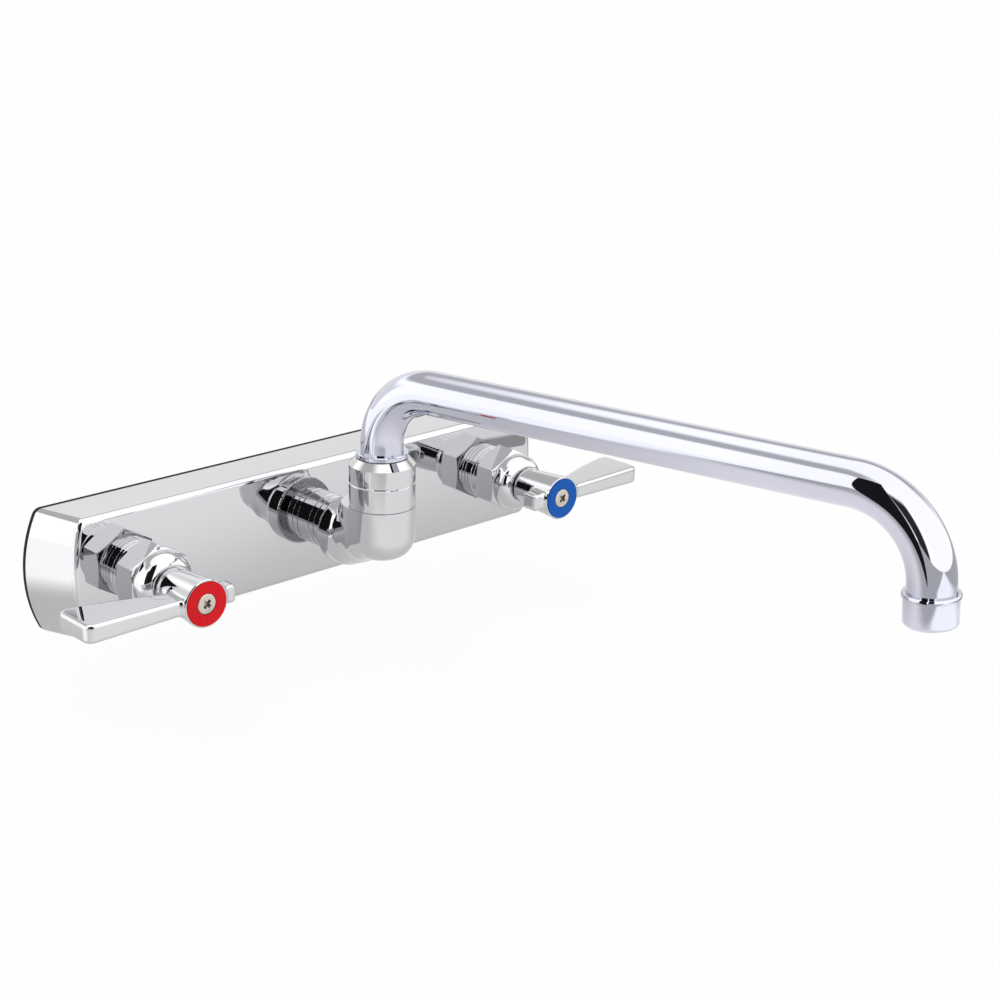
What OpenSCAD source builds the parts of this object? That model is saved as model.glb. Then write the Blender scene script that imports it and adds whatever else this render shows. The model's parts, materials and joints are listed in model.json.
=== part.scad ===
// Splash mount faucet for a kitchen sink: a chromed plate that stands on the
// splashback, two quarter turn lever valves and a long swinging tube spout.
// Millimetres. The origin is the middle of the plate's rear face, at the height
// of the valve axes. X runs along the wall, Z is up and the wall is at Y = 0,
// so everything in front of the wall has a negative Y. In comments, "out" is
// the distance in front of the wall.

/* [Plate] */
// Length of the plate cover along its straight top edge, at the rear
plate_len = 267; // [250:1:300]
// Height of the plate cover at the rear
plate_h = 55; // [48:0.5:64]
// How far the plate's front face stands out from the wall
plate_d = 25; // [24:0.5:30]
// Thickness of the cover's walls
plate_wall = 2.2; // [1.6:0.1:2.8]
// How much shorter each end is at the front shoulder than at the rear
end_rake = 6; // [3:0.5:9]
// How far each end bows outwards at the rear
rear_bow = 7; // [4:0.5:10]
// How far each end bows outwards at the front
front_bow = 3.6; // [2:0.2:6]
// Rounding of the edges round the front face
edge_r = 2.6; // [1.5:0.1:3.5]
// Rounding of the four corners of the outline
corner_r = 4; // [2:0.5:6]
// Thickness of the rubber gasket behind the cover
gasket_t = 1.2; // [0.8:0.1:2]

/* [Inlets] */
// Distance between the hot and cold valve axes
valve_span = 203.2; // [198:0.2:210]
// Outer radius of the threaded inlet shanks
shank_r = 10.45; // [9:0.05:12]
// Radius of the water way through an inlet shank
shank_bore_r = 6; // [4.5:0.25:7]
// Length of a shank behind the wall face
shank_len = 30; // [28:1:50]
// Thickness of splashback that the lock nuts are set to
panel_grip = 10; // [1:0.5:12]
// Size across the flats of a lock nut
lock_nut_af = 32; // [28:0.5:38]
// Thickness of a lock nut
lock_nut_t = 5.5; // [4:0.5:6.5]
// Thickness of a lock nut's washer
lock_washer_t = 1.5; // [1:0.25:2.5]

/* [Waterway] */
// Outer radius of the brass tube that joins the valves
cross_r = 6.2; // [5.5:0.1:6.6]
// Radius of the bore of that tube
cross_bore_r = 4; // [3:0.1:4.5]
// Wall of a valve chamber
chamber_wall = 3.2; // [2:0.2:4.5]

/* [Valves] */
// Radius of the ceramic discs
disc_r = 7.2; // [6.2:0.1:8]
// Thickness of a ceramic disc
disc_t = 3; // [2.4:0.1:3.2]
// Thickness of the rubber ring under the fixed disc
seal_t = 1.5; // [1:0.1:1.8]
// Radius of the valve stem
stem_r = 4.2; // [3.6:0.1:4.8]
// Outer radius of the ring nut against the plate
neck_ring_r = 13.2; // [12.8:0.1:15]
// Length of the ring nut
neck_ring_len = 8; // [6:0.5:10]
// Size across the flats of the bonnet's hexagon
bonnet_af = 27.5; // [26.6:0.1:32]
// Length of the bonnet's hexagon
bonnet_len = 12.2; // [10:0.2:15]
// Radius of the packing nut where it meets the bonnet
packing_r = 10.5; // [9.6:0.1:12]
// How far the domed packing nut stands out of the bonnet
packing_len = 6.3; // [5:0.1:8]

/* [Handles] */
// Gap between the packing nut and the handle's hub
hub_gap = 4.2; // [2.5:0.1:6]
// Length of the handle's hub along the valve axis
hub_len = 20.7; // [18:0.1:25]
// Radius of the hub at its front
hub_r = 10.4; // [9.9:0.1:12.5]
// Radius of the coloured index disc
index_r = 9.525; // [7.5:0.025:9.7]
// Thickness of the index disc
index_t = 1; // [0.7:0.1:1.4]
// Distance from the valve axis to the lever's tip
lever_len = 54.5; // [46:0.5:65]
// Width of the lever at its tip, seen from above
lever_tip_w = 23; // [19:0.5:27]
// Thickness of the lever at its tip
lever_tip_t = 8; // [6.6:0.2:9.5]
// Thickness of the lever where it leaves the hub
lever_root_t = 6.4; // [5.4:0.2:7.6]
// Distance from the valve axis to the end of the short tail
tail_len = 16; // [14.5:0.5:19]

/* [Swivel] */
// Distance from the wall to the spout's turning axis
pivot_out = 65.8; // [64:0.2:76]
// Radius of the column, the swivel housing and the spout nut
column_r = 14.65; // [14.2:0.05:17]
// Height of the joint between the elbow and the swivel housing
joint_z = 17; // [15.5:0.1:20]
// Height of the swivel housing's visible band
band_h = 10.9; // [9:0.1:13]
// Height of the spout nut up to its bevel
nut_h = 8.2; // [7.6:0.1:10]
// Height of the spout nut's bevel
nut_bevel = 3.1; // [2.6:0.1:3.7]
// Radius of the elbow's round shoulder near the plate
shoulder_r = 15.8; // [15:0.1:18]
// Radius of the elbow's neck at the plate
arm_neck_r = 12.5; // [11.5:0.1:14]
// Length of the elbow's neck
arm_neck_len = 14.5; // [12:0.5:17]

/* [Spout] */
// Distance from the turning axis to the outlet axis
spout_reach = 254; // [150:1:360]
// Outer radius of the spout tube
tube_r = 9.525; // [8.8:0.025:9.8]
// Wall of the spout tube
tube_wall = 1.2; // [0.9:0.1:1.4]
// Height of the axis of the spout's level run
run_z = 72.2; // [70:0.2:90]
// Bend radius where the spout leaves the swivel
start_bend = 27; // [23:0.5:30]
// Bend radius at the outlet end
end_bend = 34.5; // [29:0.5:38]
// Angle from straight out at which the spout rests, towards the cold side
spout_swing = 12.8; // [0:0.1:30]
// Height of the outlet's lower edge
outlet_z = 25; // [21:0.1:27]
// Height of the outlet collar
outlet_h = 11.5; // [9.6:0.1:13.5]
// Outer radius of the outlet collar
outlet_r = 11.5; // [11:0.1:13.5]

/* [Hidden] */
$fn = 64;

// Colours
chrome_colour = [0.86, 0.87, 0.89];
brass_colour = [0.78, 0.63, 0.34];
rubber_colour = [0.08, 0.08, 0.09];
plastic_colour = [0.93, 0.93, 0.9];
ceramic_colour = [0.97, 0.96, 0.93];
steel_colour = [0.6, 0.6, 0.6];
hot_colour = [0.84, 0.1, 0.14];
cold_colour = [0.05, 0.3, 0.68];

// Clearances, and the overrun of a cut past the face that it starts from
thread_gap = 0.05;
braze_gap = 0.03;
running_gap = 0.05;
face_gap = 0.1;
free_gap = 0.35;
overrun = 1;
sliver = 0.01;
seam = 0.05;

// Steps of the plate's arcs and of small turned roundings
bow_steps = 8;
edge_steps = 5;
corner_fn = 20;
dome_steps = 6;
soft_fn = 24;
casting_fn = 36;
casting_steps = 9;
soft_steps = 3;

// Plate cover
side_draft = 0.4;
shoulder_len = plate_len - 2 * end_rake;
shoulder_h = plate_h - 2 * side_draft;
cover_back = gasket_t;
cover_inside = plate_d - plate_wall;

// Inlet shanks
shank_flange_t = 2.2;
floor_gap = 0.6;
shank_front = gasket_t + floor_gap;
chamber_back = shank_front + shank_flange_t;
shank_flange_r = shank_r + 1.5 * shank_flange_t;
shank_chamfer = 1;
relief_w = 1;
relief_depth = 0.8;
nut_back = panel_grip + lock_washer_t + lock_nut_t;
relief_start = nut_back + 2 * shank_chamfer / 3;
lock_washer_r = lock_nut_af / 2 + shank_chamfer;
wall_hole_gap = 0.4;

// Valve chamber and the pieces in it, as distances out from the wall
chamber_floor_t = 1.2;
seat_out = chamber_back + chamber_floor_t;
fixed_disc_out = seat_out + seal_t;
turning_disc_out = fixed_disc_out + disc_t;
foot_out = turning_disc_out + disc_t;
cross_out = cover_inside - cross_r - face_gap;
skirt_wall = 1.2;
skirt_in_r = disc_r + face_gap;
skirt_r = skirt_in_r + skirt_wall;
chamber_bore_r = skirt_r + thread_gap;
neck_wall = 1.8;
neck_r = chamber_bore_r + neck_wall;
chamber_r = neck_r + chamber_wall - neck_wall;
neck_hole_r = neck_r + free_gap;
seal_in_r = disc_r * 0.62;
port_share = 0.36;
ring_front = plate_d + neck_ring_len;
bonnet_back = ring_front + free_gap;
bonnet_front = bonnet_back + bonnet_len;
bonnet_chamfer = 1;
packing_front = bonnet_front + packing_len;
packing_thread_r = skirt_r;
packing_thread_len = 5.5;
packing_nose_r = stem_r + 3.6;
hub_back = packing_front + hub_gap;
hub_front = hub_back + hub_len;

// Stem
foot_t = 2;
foot_r = disc_r - 4 * face_gap;
key_w = 2.6;
key_t = 1.1;
window_w = 5.4;
collar_t = 1.5;
collar_r = stem_r + 1.5;
washer_t = 1;
bonnet_shoulder = cover_inside - face_gap;
washer_out = bonnet_shoulder - washer_t;
collar_out = washer_out - collar_t - running_gap;
ring_r = 0.6;
ring_squash = 0.02;
stem_ring_mid_r = stem_r - ring_r;
stem_groove_r = stem_ring_mid_r - ring_r - ring_squash;
stem_ring_gap = 4.5;
stem_ring_out = bonnet_back + ring_r;
spline_r = stem_r - 0.5;
spline_depth = 0.35;
spline_count = 16;
spline_len_share = 0.68;
spline_front = hub_back + hub_len * spline_len_share;

// Handle screw and index disc
screw_head_r = 4.5;
screw_head_t = 2.4;
screw_dome = 0.5;
screw_r = 2.4;
screw_depth = 9;
recess_w = 1;
recess_len = 4.2;
recess_depth = 1;
index_recess = 0.6;
index_out = hub_front - index_recess;
index_front = index_out + index_t;
screw_head_out = index_front - screw_head_t;

// Handle
hub_back_r_share = 0.82;
hub_soft = 1;
lever_front_gap = 1.7;
lever_soft = 1.3;
lever_corner_r = 4.2;
lever_root_r = 3;
tail_r = 2.4;
tail_t_share = 0.94;
tail_w = 6.2;
// Rear edge of the lever: share of its length, and share of the tip's width there
lever_edge_shares = [[0.16, 0.44], [0.37, 0.66], [0.62, 0.85], [0.86, 0.98]];

// Centre boss and elbow
arm_drop = 1;
spigot_r = 8.6;
spigot_wall = 3;
spigot_back = cross_out - cross_r - face_gap;
boss_wall = 3;
boss_back = spigot_back - boss_wall;
arm_bore_r = spigot_r - spigot_wall;
arm_neck_front = plate_d + arm_neck_len;
groove_w = 0.8;
groove_depth = 0.6;
groove_count = 3;
shoulder_len_out = 7.5;
shoulder_round = 5.5;
shoulder_end_r = column_r - 2 * seam;
ball_z = 7.7;
slope_start = arm_neck_front + shoulder_len_out;
slope_angle = atan2(ball_z + arm_drop, pivot_out - slope_start);
slope_len = norm([ball_z + arm_drop, pivot_out - slope_start]);
back_shift = 5.3;
back_out = pivot_out - back_shift;
socket_depth = 8;
line_bevel = 0.4;

// Swivel, as heights
journal_r = 8.25;
journal_bore_r = 5.2;
housing_bore_r = journal_r + running_gap;
housing_spigot_r = housing_bore_r + 2.2;
socket_r = housing_spigot_r + thread_gap;
band_top = joint_z + band_h;
housing_thread_r = column_r - 2.4;
housing_top = band_top + 5.1;
swivel_washer_t = 1;
flange_z = housing_top + swivel_washer_t + face_gap;
flange_t = 1.5;
flange_top = flange_z + flange_t;
nut_in_r = housing_thread_r + thread_gap;
flange_r = nut_in_r - 2 * free_gap - thread_gap;
nut_bevel_z = band_top + nut_h;
nut_top = nut_bevel_z + nut_bevel;
lip_z = flange_top + face_gap + swivel_washer_t;
lip_r = tube_r + free_gap;
nut_top_r = lip_r + 2;
swivel_washer_in_r = tube_r + free_gap;
journal_foot_z = joint_z - socket_depth + 2;
o_ring_r = 0.95;
o_ring_mid_r = journal_r - o_ring_r - running_gap;
o_ring_groove_r = o_ring_mid_r - o_ring_r - ring_squash;
o_ring_zs = [journal_foot_z + 4 * o_ring_r, joint_z + band_h / 2];

// Spout
tube_bore_r = tube_r - tube_wall;
tube_foot = flange_top;
collar_r_out = 11.5;
collar_h = 2.3;
collar_z = nut_top + face_gap;
collar_bevel = 0.3;
tube_end_z = outlet_z + 6;
spigot_top = flange_top + 8;
outlet_round = 1.6;
outlet_rim_h = 1.6;
outlet_rim = 0.35;
outlet_bore_r = tube_r + braze_gap;
outlet_washer_t = 1;
outlet_washer_in_r = tube_r * 0.7;
screen_t = 0.4;
insert_recess = 0.8;
insert_r = outlet_bore_r - running_gap;
insert_top = tube_end_z - outlet_washer_t - screen_t;
insert_floor_t = 1.4;
insert_wall = 1.2;
jet_r = 0.75;
jet_rings = [[1, 0], [6, 0.34], [12, 0.66]];
mesh_hole = 1.2;
mesh_pitch = 1.9;
mesh_half = 3;

// Points of an arc, both ends included
function arc(cx, cy, r, a0, a1, steps) =
    [for (i = [0:steps]) let (a = a0 + (a1 - a0) * i / steps) [cx + r * cos(a), cy + r * sin(a)]];

// Outline of the plate: straight top and bottom, and ends that bow outwards
function bowed_outline(half_len, half_h, bow) =
    let (r = (half_h * half_h + bow * bow) / (2 * bow))
    let (a = asin(half_h / r))
    concat(arc(half_len + bow - r, 0, r, -a, a, bow_steps),
           arc(r - half_len - bow, 0, r, 180 - a, 180 + a, bow_steps));

// Turns a shape that is drawn upwards so that it points out from the wall
module out_from_wall() rotate([90, 0, 0]) children();
module at_hot() translate([-valve_span / 2, 0, 0]) children();
module at_cold() translate([valve_span / 2, 0, 0]) children();
module at_pivot() translate([0, -pivot_out, 0]) children();
// Places what is drawn with the reach along X on the swung spout
module on_spout() at_pivot() rotate([0, 0, spout_swing - 90]) children();

// A turned piece from points [radius, height]
module turned(points) rotate_extrude() polygon(points);

// A round rod or hole between two heights
module rod(r, low, high) translate([0, 0, low]) cylinder(r = r, h = high - low);

// A flat ring between two heights
module ring(r_out, r_in, low, high) difference() {
    rod(r_out, low, high);
    rod(r_in, low - overrun, high + overrun);
}

// A hexagonal bar with flats at the sides and bevelled corners at both ends
module hexagon_bar(af, low, high, bevel) intersection() {
    translate([0, 0, low]) rotate([0, 0, 30]) cylinder(r = af / 2 / cos(30), h = high - low, $fn = 6);
    turned([[0, low], [af / 2 - bevel / 3, low], [af / 2 / cos(30), low + bevel],
            [af / 2 / cos(30), high - bevel], [af / 2 - bevel / 3, high], [0, high]]);
}

// Plate cover

module plate_slab(out, half_len, half_h, bow, inset) translate([0, 0, out]) linear_extrude(sliver)
    offset(r = corner_r, $fn = corner_fn) offset(delta = -corner_r - inset)
    polygon(bowed_outline(half_len, half_h, bow));

module plate_block(back, front, inset) hull() {
    plate_slab(back, plate_len / 2, plate_h / 2, rear_bow, inset);
    for (i = [0:edge_steps]) let (a = 90 * i / edge_steps)
        plate_slab(front - sliver - edge_r + edge_r * sin(a), shoulder_len / 2, shoulder_h / 2,
                   front_bow, inset + edge_r * (1 - cos(a)));
}

module body_cover() color(chrome_colour) out_from_wall() difference() {
    plate_block(cover_back, plate_d, 0);
    plate_block(cover_back - overrun, cover_inside, plate_wall);
    for (x = [-valve_span / 2, valve_span / 2])
        translate([x, 0, 0]) rod(neck_hole_r, cover_inside - overrun, plate_d + overrun);
    translate([0, -arm_drop, 0]) rod(spigot_r + free_gap, cover_inside - overrun, plate_d + overrun);
}

module wall_gasket() color(rubber_colour) out_from_wall() difference() {
    linear_extrude(gasket_t) offset(r = corner_r, $fn = corner_fn) offset(delta = -corner_r)
        polygon(bowed_outline(plate_len / 2, plate_h / 2, rear_bow));
    for (x = [-valve_span / 2, valve_span / 2])
        translate([x, 0, 0]) rod(shank_r + wall_hole_gap, -overrun, gasket_t + overrun);
}

// Inlet shanks

module inlet_shank() color(brass_colour) out_from_wall() turned([
    [shank_bore_r, -shank_len], [shank_r - shank_chamfer, -shank_len],
    [shank_r, shank_chamfer - shank_len], [shank_r, -relief_start - relief_w],
    [shank_r - relief_depth, -relief_start - relief_w], [shank_r - relief_depth, -relief_start],
    [shank_r, -relief_start], [shank_r, shank_front], [shank_flange_r, shank_front],
    [shank_flange_r, chamber_back], [shank_bore_r, chamber_back]]);
module hot_inlet_shank() at_hot() inlet_shank();
module cold_inlet_shank() at_cold() inlet_shank();

module shank_washers() color(plastic_colour) for (x = [-valve_span / 2, valve_span / 2])
    translate([x, 0, 0]) out_from_wall()
        ring(lock_washer_r, shank_r + wall_hole_gap, -panel_grip - lock_washer_t, -panel_grip);

module shank_lock_nuts() color(brass_colour) for (x = [-valve_span / 2, valve_span / 2])
    translate([x, 0, 0]) out_from_wall() difference() {
        hexagon_bar(lock_nut_af, -nut_back, lock_nut_t - nut_back, shank_chamfer);
        rod(shank_r + thread_gap, -nut_back - overrun, overrun - panel_grip);
    }

// Brass waterway inside the cover

module chamber_body() turned([
    [0, chamber_back], [chamber_r, chamber_back], [chamber_r, cover_inside],
    [neck_r, cover_inside], [neck_r, bonnet_back], [0, bonnet_back]]);

module waterway() color(brass_colour) out_from_wall() difference() {
    union() {
        for (x = [-valve_span / 2, valve_span / 2]) translate([x, 0, 0]) chamber_body();
        translate([-valve_span / 2, 0, cross_out]) rotate([0, 90, 0]) cylinder(r = cross_r, h = valve_span);
        translate([0, -arm_drop, 0]) rod(spigot_r + boss_wall, boss_back, cover_inside);
    }
    translate([-valve_span / 2, 0, cross_out]) rotate([0, 90, 0]) cylinder(r = cross_bore_r, h = valve_span);
    for (x = [-valve_span / 2, valve_span / 2]) translate([x, 0, 0]) {
        rod(chamber_bore_r, seat_out, bonnet_back + overrun);
        rod(seal_in_r, chamber_back - overrun, seat_out + overrun);
    }
    translate([0, -arm_drop, 0]) rod(spigot_r + thread_gap, spigot_back, cover_inside + overrun);
}

// Valve pieces, each drawn on its own axis

module neck_ring() color(chrome_colour) out_from_wall() difference() {
    turned([[0, plate_d], [neck_ring_r - line_bevel, plate_d], [neck_ring_r, plate_d + line_bevel],
            [neck_ring_r, ring_front - line_bevel], [neck_ring_r - line_bevel, ring_front], [0, ring_front]]);
    rod(neck_r + thread_gap, plate_d - overrun, ring_front + overrun);
}
module hot_neck_ring() at_hot() neck_ring();
module cold_neck_ring() at_cold() neck_ring();

module bonnet() color(chrome_colour) out_from_wall() difference() {
    union() {
        hexagon_bar(bonnet_af, bonnet_back, bonnet_front, bonnet_chamfer);
        rod(skirt_r, fixed_disc_out, bonnet_back + overrun);
    }
    rod(skirt_in_r, fixed_disc_out - overrun, bonnet_shoulder);
    rod(stem_r + running_gap, bonnet_shoulder - overrun, bonnet_front + overrun);
    rod(packing_thread_r + thread_gap, bonnet_front - packing_thread_len, bonnet_front + overrun);
    for (a = [0, 90]) rotate([0, 0, a])
        translate([-skirt_r - overrun, -window_w / 2, foot_out])
            cube([2 * (skirt_r + overrun), window_w, bonnet_shoulder - foot_out - washer_t]);
}
module hot_bonnet() at_hot() bonnet();
module cold_bonnet() at_cold() bonnet();

module packing_nut() color(chrome_colour) out_from_wall() difference() {
    union() {
        rod(packing_thread_r, bonnet_front - packing_thread_len, bonnet_front + line_bevel);
        turned(concat([[0, bonnet_front], [packing_r - line_bevel, bonnet_front],
                       [packing_r, bonnet_front + line_bevel]],
            [for (i = [0:dome_steps]) let (a = 90 * i / dome_steps)
                [packing_nose_r + (packing_r - packing_nose_r) * cos(a),
                 packing_front - packing_len / 2 + packing_len / 2 * sin(a)]],
            [[0, packing_front]]));
    }
    rod(stem_r + running_gap, bonnet_front - packing_thread_len - overrun, packing_front + overrun);
}
module hot_packing_nut() at_hot() packing_nut();
module cold_packing_nut() at_cold() packing_nut();

module seat_seal() color(rubber_colour) out_from_wall()
    ring(skirt_r - face_gap, seal_in_r, seat_out, fixed_disc_out);
module hot_seat_seal() at_hot() seat_seal();
module cold_seat_seal() at_cold() seat_seal();

// A ceramic disc with two ports, a half turn apart
module ported_disc(low, turn) difference() {
    rod(disc_r, low, low + disc_t);
    for (a = [turn, turn + 180]) rotate([0, 0, a]) translate([disc_r / 2, 0, 0])
        rod(disc_r * port_share, low - overrun, low + disc_t + overrun);
}
module fixed_disc() color(ceramic_colour) out_from_wall() ported_disc(fixed_disc_out, 0);
module hot_fixed_disc() at_hot() fixed_disc();
module cold_fixed_disc() at_cold() fixed_disc();

// At rest the valve is shut, so the turning disc's ports stand crosswise
module turning_disc() color(ceramic_colour) out_from_wall() difference() {
    ported_disc(turning_disc_out, 90);
    translate([-disc_r * port_share, -key_w / 2 - running_gap, foot_out - key_t])
        cube([2 * disc_r * port_share, key_w + 2 * running_gap, key_t + overrun]);
}
module hot_turning_disc() at_hot() turning_disc();
module cold_turning_disc() at_cold() turning_disc();

module stem() color(brass_colour) out_from_wall() difference() {
    union() {
        rod(foot_r, foot_out, foot_out + foot_t);
        translate([running_gap - disc_r * port_share, -key_w / 2, foot_out - key_t + running_gap])
            cube([2 * (disc_r * port_share - running_gap), key_w, key_t]);
        rod(stem_r, foot_out + foot_t / 2, hub_back - running_gap);
        rod(collar_r, collar_out, collar_out + collar_t);
        rod(spline_r, hub_back - overrun, spline_front);
    }
    for (a = [0:360 / spline_count:359]) rotate([0, 0, a])
        translate([spline_r - spline_depth, 0, hub_back]) rotate([0, 0, 45])
            cube([spline_depth * 2, spline_depth * 2, hub_len]);
    for (i = [0, 1]) translate([0, 0, stem_ring_out + i * stem_ring_gap])
        ring(stem_r + overrun, stem_groove_r, -ring_r - ring_squash, ring_r + ring_squash);
    rod(screw_r + thread_gap, screw_head_out - screw_depth - running_gap, spline_front + overrun);
}
module hot_stem() at_hot() stem();
module cold_stem() at_cold() stem();

module stem_rings() color(rubber_colour) out_from_wall() for (i = [0, 1])
    translate([0, 0, stem_ring_out + i * stem_ring_gap])
        rotate_extrude() translate([stem_ring_mid_r, 0]) circle(r = ring_r, $fn = soft_fn);
module hot_stem_rings() at_hot() stem_rings();
module cold_stem_rings() at_cold() stem_rings();

module thrust_washer() color(plastic_colour) out_from_wall()
    ring(skirt_in_r - face_gap, stem_r + running_gap, washer_out, bonnet_shoulder);
module hot_thrust_washer() at_hot() thrust_washer();
module cold_thrust_washer() at_cold() thrust_washer();

// Lever handle

// An upright post with softened rims, for the corners of the lever
module soft_post(x, out, r, t) translate([x, t / 2, out]) rotate([90, 0, 0])
    rotate_extrude($fn = soft_fn) polygon(concat(
        [[0, 0]], arc(r - lever_soft, lever_soft, lever_soft, -90, 0, soft_steps),
        arc(r - lever_soft, t - lever_soft, lever_soft, 0, 90, soft_steps), [[0, t]]));

module lever_blade() let (front = hub_front - lever_front_gap) hull() {
    soft_post(lever_len - lever_corner_r, front - lever_corner_r, lever_corner_r, lever_tip_t);
    soft_post(lever_root_r, front - lever_root_r, lever_root_r, lever_root_t);
    for (s = lever_edge_shares)
        soft_post(lever_len * s[0], front - lever_tip_w * s[1] + lever_root_r, lever_root_r,
                  lever_root_t + (lever_tip_t - lever_root_t) * s[0]);
    soft_post(lever_len - lever_corner_r, front - lever_tip_w + lever_corner_r, lever_corner_r, lever_tip_t);
}

module lever_tail() let (front = hub_front - lever_front_gap) hull()
    for (x = [0, tail_r - tail_len]) for (out = [front - tail_r, front - tail_w + tail_r])
        soft_post(x, out, tail_r, lever_root_t * tail_t_share);

// Drawn with its lever along +X
module handle() color(chrome_colour) out_from_wall() difference() {
    union() {
        turned([[0, hub_back], [hub_r * hub_back_r_share - hub_soft, hub_back],
                [hub_r * hub_back_r_share, hub_back + hub_soft],
                [hub_r, hub_front - hub_soft], [hub_r - hub_soft / 3, hub_front], [0, hub_front]]);
        lever_blade();
        lever_tail();
    }
    rod(index_r + running_gap, index_out, hub_front + overrun);
    rod(screw_head_r + face_gap, screw_head_out, hub_front + overrun);
    rod(screw_r + free_gap, spline_front - overrun, hub_front + overrun);
    rod(spline_r + running_gap, hub_back - overrun, spline_front + running_gap);
}
module hot_handle() at_hot() mirror([1, 0, 0]) handle();
module cold_handle() at_cold() handle();

module handle_screw() color(steel_colour) out_from_wall() difference() {
    union() {
        turned([[0, screw_head_out], [screw_head_r, screw_head_out],
                [screw_head_r, index_front - screw_dome],
                [screw_head_r - screw_dome, index_front], [0, index_front]]);
        rod(screw_r, screw_head_out - screw_depth, screw_head_out + screw_dome);
    }
    for (a = [0, 90]) rotate([0, 0, a + 45])
        translate([-recess_len / 2, -recess_w / 2, index_front - recess_depth])
            cube([recess_len, recess_w, recess_depth + overrun]);
}
module hot_handle_screw() at_hot() handle_screw();
module cold_handle_screw() at_cold() handle_screw();

module index_disc() out_from_wall() ring(index_r, screw_head_r + face_gap, index_out, index_front);
module hot_index_disc() color(hot_colour) at_hot() index_disc();
module cold_index_disc() color(cold_colour) at_cold() index_disc();

// Elbow that carries the spout

// Points along the neck, with fine turned grooves
function arm_neck_points() = [for (i = [0:groove_count - 1])
    let (at = plate_d + arm_neck_len * (i + 1) / (groove_count + 1))
    for (p = [[arm_neck_r, at], [arm_neck_r - groove_depth, at],
              [arm_neck_r - groove_depth, at + groove_w], [arm_neck_r, at + groove_w]]) p];

module arm() translate([0, 0, -arm_drop]) out_from_wall() turned(concat(
    [[0, spigot_back], [spigot_r, spigot_back], [spigot_r, plate_d], [arm_neck_r, plate_d]],
    arm_neck_points(),
    [[arm_neck_r, arm_neck_front], [shoulder_r - line_bevel, arm_neck_front],
     [shoulder_r, arm_neck_front + line_bevel]],
    [for (i = [0:dome_steps]) let (a = 90 * i / dome_steps)
        [shoulder_end_r + (shoulder_r - shoulder_end_r) * cos(a),
         slope_start + shoulder_round * sin(a)]],
    [[0, slope_start + shoulder_round]]));

// The cast body that turns the water upwards: the end of the arm, the ball under
// the column and the column itself, blended into one convex form
module elbow_body() hull($fn = casting_fn) {
    translate([0, 0, -arm_drop]) out_from_wall()
        rod(shoulder_end_r - seam, slope_start, slope_start + shoulder_round, $fn = casting_fn);
    at_pivot() rotate_extrude($fn = casting_fn)
        polygon(concat(arc(0, ball_z, column_r, -90, 0, casting_steps), [[0, ball_z]]));
    for (out = [back_out, pivot_out]) translate([0, -out, 0]) {
        rod(column_r, ball_z, joint_z - line_bevel, $fn = casting_fn);
        rod(column_r - line_bevel, ball_z, joint_z, $fn = casting_fn);
    }
}

// The water way along the sloping stretch between the arm and the column
module slope_bore() translate([0, -slope_start, -arm_drop]) rotate([90 - slope_angle, 0, 0])
    cylinder(r = arm_bore_r, h = slope_len);

module spout_elbow() color(chrome_colour) difference() {
    union() {
        arm();
        elbow_body();
    }
    translate([0, 0, -arm_drop]) out_from_wall() rod(arm_bore_r, spigot_back - overrun, slope_start + overrun);
    translate([-spigot_r - overrun, -cross_out, 0]) rotate([0, 90, 0])
        cylinder(r = cross_bore_r, h = 2 * (spigot_r + overrun));
    slope_bore();
    at_pivot() rod(arm_bore_r, ball_z - overrun, joint_z);
    at_pivot() rod(socket_r, joint_z - socket_depth, joint_z + overrun);
}

// Swivel: the housing and nut stay with the elbow, the end fitting turns

module swivel_housing() color(chrome_colour) at_pivot() turned([
    [housing_bore_r, joint_z - socket_depth + face_gap],
    [housing_spigot_r, joint_z - socket_depth + face_gap], [housing_spigot_r, joint_z],
    [column_r - line_bevel, joint_z], [column_r, joint_z + line_bevel],
    [column_r, band_top - line_bevel], [column_r - line_bevel, band_top],
    [housing_thread_r, band_top], [housing_thread_r, housing_top], [housing_bore_r, housing_top]]);

module spout_nut() color(chrome_colour) at_pivot() turned([
    [nut_in_r, band_top], [column_r - line_bevel, band_top], [column_r, band_top + line_bevel],
    [column_r, nut_bevel_z], [nut_top_r, nut_top], [lip_r, nut_top], [lip_r, lip_z], [nut_in_r, lip_z]]);

module spout_thrust_washers() color(plastic_colour) at_pivot() {
    ring(nut_in_r - free_gap, journal_r + free_gap, housing_top, housing_top + swivel_washer_t);
    ring(nut_in_r - free_gap, swivel_washer_in_r, flange_top + face_gap, lip_z);
}

module spout_end() color(brass_colour) on_spout() difference() {
    turned([[journal_bore_r, journal_foot_z], [journal_r, journal_foot_z], [journal_r, flange_z],
            [flange_r, flange_z], [flange_r, flange_top], [tube_bore_r - braze_gap, flange_top],
            [tube_bore_r - braze_gap, spigot_top], [journal_bore_r, spigot_top]]);
    for (z = o_ring_zs) ring(journal_r + overrun, o_ring_groove_r,
                             z - o_ring_r - ring_squash, z + o_ring_r + ring_squash);
}

module spout_o_rings() color(rubber_colour) on_spout() for (z = o_ring_zs)
    translate([0, 0, z]) rotate_extrude() translate([o_ring_mid_r, 0]) circle(r = o_ring_r, $fn = soft_fn);

module tube_collar() color(chrome_colour) on_spout() turned([
    [tube_r + braze_gap, collar_z], [collar_r_out - collar_bevel, collar_z],
    [collar_r_out, collar_z + collar_bevel], [collar_r_out, collar_z + collar_h - collar_bevel],
    [collar_r_out - collar_bevel, collar_z + collar_h], [tube_r + braze_gap, collar_z + collar_h]]);

// Spout tube, bent twice in one plane

module tube_section() difference() {
    circle(r = tube_r);
    circle(r = tube_bore_r);
}
module tube_stub(low, high) translate([0, 0, low]) linear_extrude(high - low) tube_section();
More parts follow.
